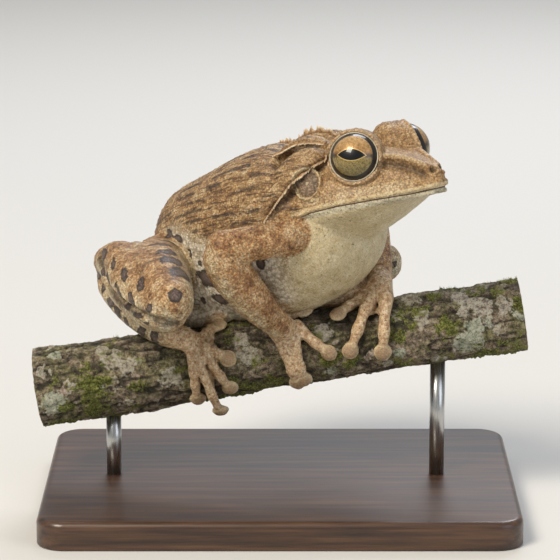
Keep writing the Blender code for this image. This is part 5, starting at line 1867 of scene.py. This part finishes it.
def barkMaterial():
    # Damp grey-brown bark with pale lichen crusts, green moss, and sawn wood at the ends
    made, node = newMaterial("bark")
    place = inMillimetres(node)
    broad, patch, fine = (
        node("TexNoise", {"Vector": place, "Scale": scale, "Detail": detail, "Roughness": rough})
        for scale, detail, rough in ((0.22, 4.0, 0.7), (0.8, 6.0, 0.75), (2.4, 5.0, 0.8))
    )
    specks = node("TexNoise", {"Vector": place, "Scale": 3.6, "Detail": 2.0, "Roughness": 0.8})
    rough = node("Math SUBTRACT", fine, 0.5)
    bare = node("ValToRGB", patch, stops=[
        (0.36, "#332A20"), (0.44, "#5D5040"), (0.51, "#85745E"), (0.58, "#AB9882"),
        (0.66, "#C8B8A3"),
    ])
    bare = node(
        "Mix",
        node("MapRange", broad, 0.42, 0.62, 0.0, 0.6),
        bare,
        node("ValToRGB", patch, stops=[(0.38, "#35341B"), (0.48, "#66692F"), (0.62, "#9A9758")]),
    )
    bare = node("Mix", node("MapRange", specks, 0.6, 0.66, 0.0, 0.8), bare, "#A9A48F")
    bare = node("Mix", node("MapRange", specks, 0.4, 0.34, 0.0, 0.85), bare, "#1A150F")
    # crusts: pale rim, crumbly middle with dark specks
    crust = node("Math MULTIPLY_ADD", rough, 1.0, "crust")
    on = node("MapRange", crust, -0.03, 0.08)
    kinds = node("ValToRGB", "hue", stops=[
        (0.0, "#A3AC90"), (0.3, "#A9B094"), (0.36, "#AE9180"), (0.62, "#B49A88"), (0.7, "#B9B3A4"),
        (1.0, "#9C8A69"),
    ])
    body = node("Mix", node("MapRange", patch, 0.42, 0.6, 0.0, 0.6), kinds, "#E2DDCB")
    body = node("Mix", node("MapRange", crust, 0.3, 0.06, 0.0, 0.5), body, "#D4D2C0")
    body = node("Mix", node("MapRange", fine, 0.5, 0.4, 0.0, 0.75), body, "#5C5040")
    broken = node("Math MULTIPLY", on, node("MapRange", patch, 0.4, 0.47, 0.3, 0.95))
    colour = node("Mix", broken, bare, body)
    # painted shade: near black down in the cracks
    colour = node("Mix", node("Math MULTIPLY", "cleft", 0.75), colour, "#17120D")
    moss = node("Math MULTIPLY_ADD", rough, 1.1, "moss")
    mossColour = node("ValToRGB", fine, stops=[
        (0.38, "#1C1E0D"), (0.46, "#4B501F"), (0.54, "#7F8436"), (0.63, "#B0B060"),
    ])
    colour = node("Mix", node("MapRange", moss, -0.02, 0.12, 0.0, 0.95), colour, mossColour)
    rings = node("Math SINE", node("Math MULTIPLY", "core", 46.0))
    wood = node("ValToRGB", rings, stops=[(0.1, "#9E7B53"), (0.9, "#BD9A6E")])
    wood = node("Mix MULTIPLY", 0.6, wood, node("MapRange", patch, 0.3, 0.65, 0.75, 1.1))
    colour = node("Mix", "wood", colour, wood)
    height = node("Math MULTIPLY_ADD", patch, 1.2, fine)
    finishMaterial(node, {"Base Color": colour, "Roughness": 0.82}, height, 0.0007, 0.9)
    return made


def mossMaterial():
    # Short living moss: yellow-green tips over dark stems
    made, node = newMaterial("moss_green")
    tips = node("ValToRGB", "hue", stops=[(0.0, "#6B6F2C"), (0.6, "#979A48"), (1.0, "#C2BF72")])
    colour = node("Mix", "tip", "#2B3010", tips)
    finishMaterial(node, {"Base Color": colour, "Roughness": 0.7})
    return made


def woodMaterial():
    # Dark stained wood with a satin varnish; grain lines run along X, about 1 mm apart
    made, node = newMaterial("stained_wood")
    place = inMillimetres(node)
    long = node("VectorMath MULTIPLY", place, (0.035, 0.55, 0.8))
    grain = node("TexNoise", {"Vector": long, "Scale": 1.0, "Detail": 6.0, "Roughness": 0.6})
    colour = node("ValToRGB", grain, stops=[(0.35, "#2A1B12"), (0.5, "#452D1D"), (0.68, "#5D4029")])
    settings = {"Base Color": colour, "Roughness": 0.4, "Coat Weight": 0.35, "Coat Roughness": 0.2}
    finishMaterial(node, settings, grain, 0.0001, 0.25)
    return made


def steelMaterial():
    # Brushed stainless steel rod
    made, node = newMaterial("stainless_steel")
    place = inMillimetres(node)
    long = node("VectorMath MULTIPLY", place, (6.0, 6.0, 0.25))
    lines = node("TexNoise", {"Vector": long, "Scale": 1.0, "Detail": 3.0})
    rough = node("ValToRGB", lines, stops=[(0.3, 0.2), (0.7, 0.36)])
    finishMaterial(node, {"Base Color": "#BDBDBB", "Metallic": 1.0, "Roughness": rough})
    return made


def floorMaterial():
    # Matt pale paper
    made, node = newMaterial("pale_floor")
    finishMaterial(node, {"Base Color": "#D8D6D1", "Roughness": 0.9})
    return made


# Floor, light and camera

studio = {
    "world": ("#EEF1F4", 0.42),
    # place in metres, what it looks at, size, watts, colour
    "lamps": {
        "key": ((-0.42, -0.5, 0.75), (0.0, 0.0, 0.05), 0.36, 8.5, "#FFF6E8"),
        "fill": ((0.6, -0.45, 0.35), (0.0, 0.0, 0.05), 0.5, 1.3, "#E9F1FF"),
        "back": ((0.15, 0.6, 0.6), (0.0, 0.0, 0.06), 0.4, 3.2, "#F4F7FF"),
    },
    "floor": 6.0,
    "camera": {"elevation": 13.0, "distance": 0.65, "frame": 119.15, "raise": 15.106, "sensor": 36.0},
}


def aimed(thing, place, target):
    away = np.array(place) - np.array(target)
    thing.location = place
    thing.rotation_euler = Vector(away).to_track_quat("Z", "Y").to_euler()


def buildStudio():
    half = studio["floor"] / 2
    corners = [(-half, -half, 0), (half, -half, 0), (half, half, 0), (-half, half, 0)]
    mesh = bpy.data.meshes.new("floor")
    mesh.from_pydata(corners, [], [(0, 1, 2, 3)])
    floor = bpy.data.objects.new("floor", mesh)
    bpy.context.scene.collection.objects.link(floor)
    bpy.context.scene.view_settings.view_transform = "Standard"
    world = bpy.data.worlds.new("studio")
    bpy.context.scene.world = world
    world.use_nodes = True
    colour, strength = studio["world"]
    world.node_tree.nodes["Background"].inputs[0].default_value = tone(colour)
    world.node_tree.nodes["Background"].inputs[1].default_value = strength
    for name, (place, target, size, watts, hue) in studio["lamps"].items():
        lamp = bpy.data.lights.new(name, "AREA")
        lamp.size = size
        lamp.energy = watts
        lamp.color = tone(hue)[:3]
        holder = bpy.data.objects.new(name, lamp)
        bpy.context.scene.collection.objects.link(holder)
        aimed(holder, place, target)
    lens = studio["camera"]
    tilt = math.radians(lens["elevation"])
    target = np.array([0, math.sin(tilt), math.cos(tilt)]) * lens["raise"] * millimetre
    target = target + (0, 0, perchHeight * millimetre)
    place = target + lens["distance"] * np.array([0, -math.cos(tilt), math.sin(tilt)])
    camera = bpy.data.cameras.new("camera")
    camera.sensor_width = lens["sensor"]
    camera.lens = lens["sensor"] * lens["distance"] / (lens["frame"] * millimetre)
    camera.clip_start, camera.clip_end = 0.01, 20
    holder = bpy.data.objects.new("camera", camera)
    bpy.context.scene.collection.objects.link(holder)
    aimed(holder, place, target)
    bpy.context.scene.camera = holder
    print("studio: floor, three lamps and the camera")
    return floor


def dress(material, *things):
    for thing in things:
        thing.data.materials.clear()
        thing.data.materials.append(material)


skin = buildSkin()
crestBlades = buildCrests(skin)
eyes = buildEyes()
branch, moss = buildBranch()
slab, rods = buildStand()
floor = buildStudio()

dress(skinMaterial(), skin)
dress(crestMaterial(), crestBlades)
dress(eyeMaterial(), eyes["eye_right"], eyes["eye_left"])
dress(rimMaterial(), eyes["rims"])
dress(barkMaterial(), branch)
dress(mossMaterial(), moss)
dress(woodMaterial(), slab)
dress(steelMaterial(), *rods)
dress(floorMaterial(), floor)
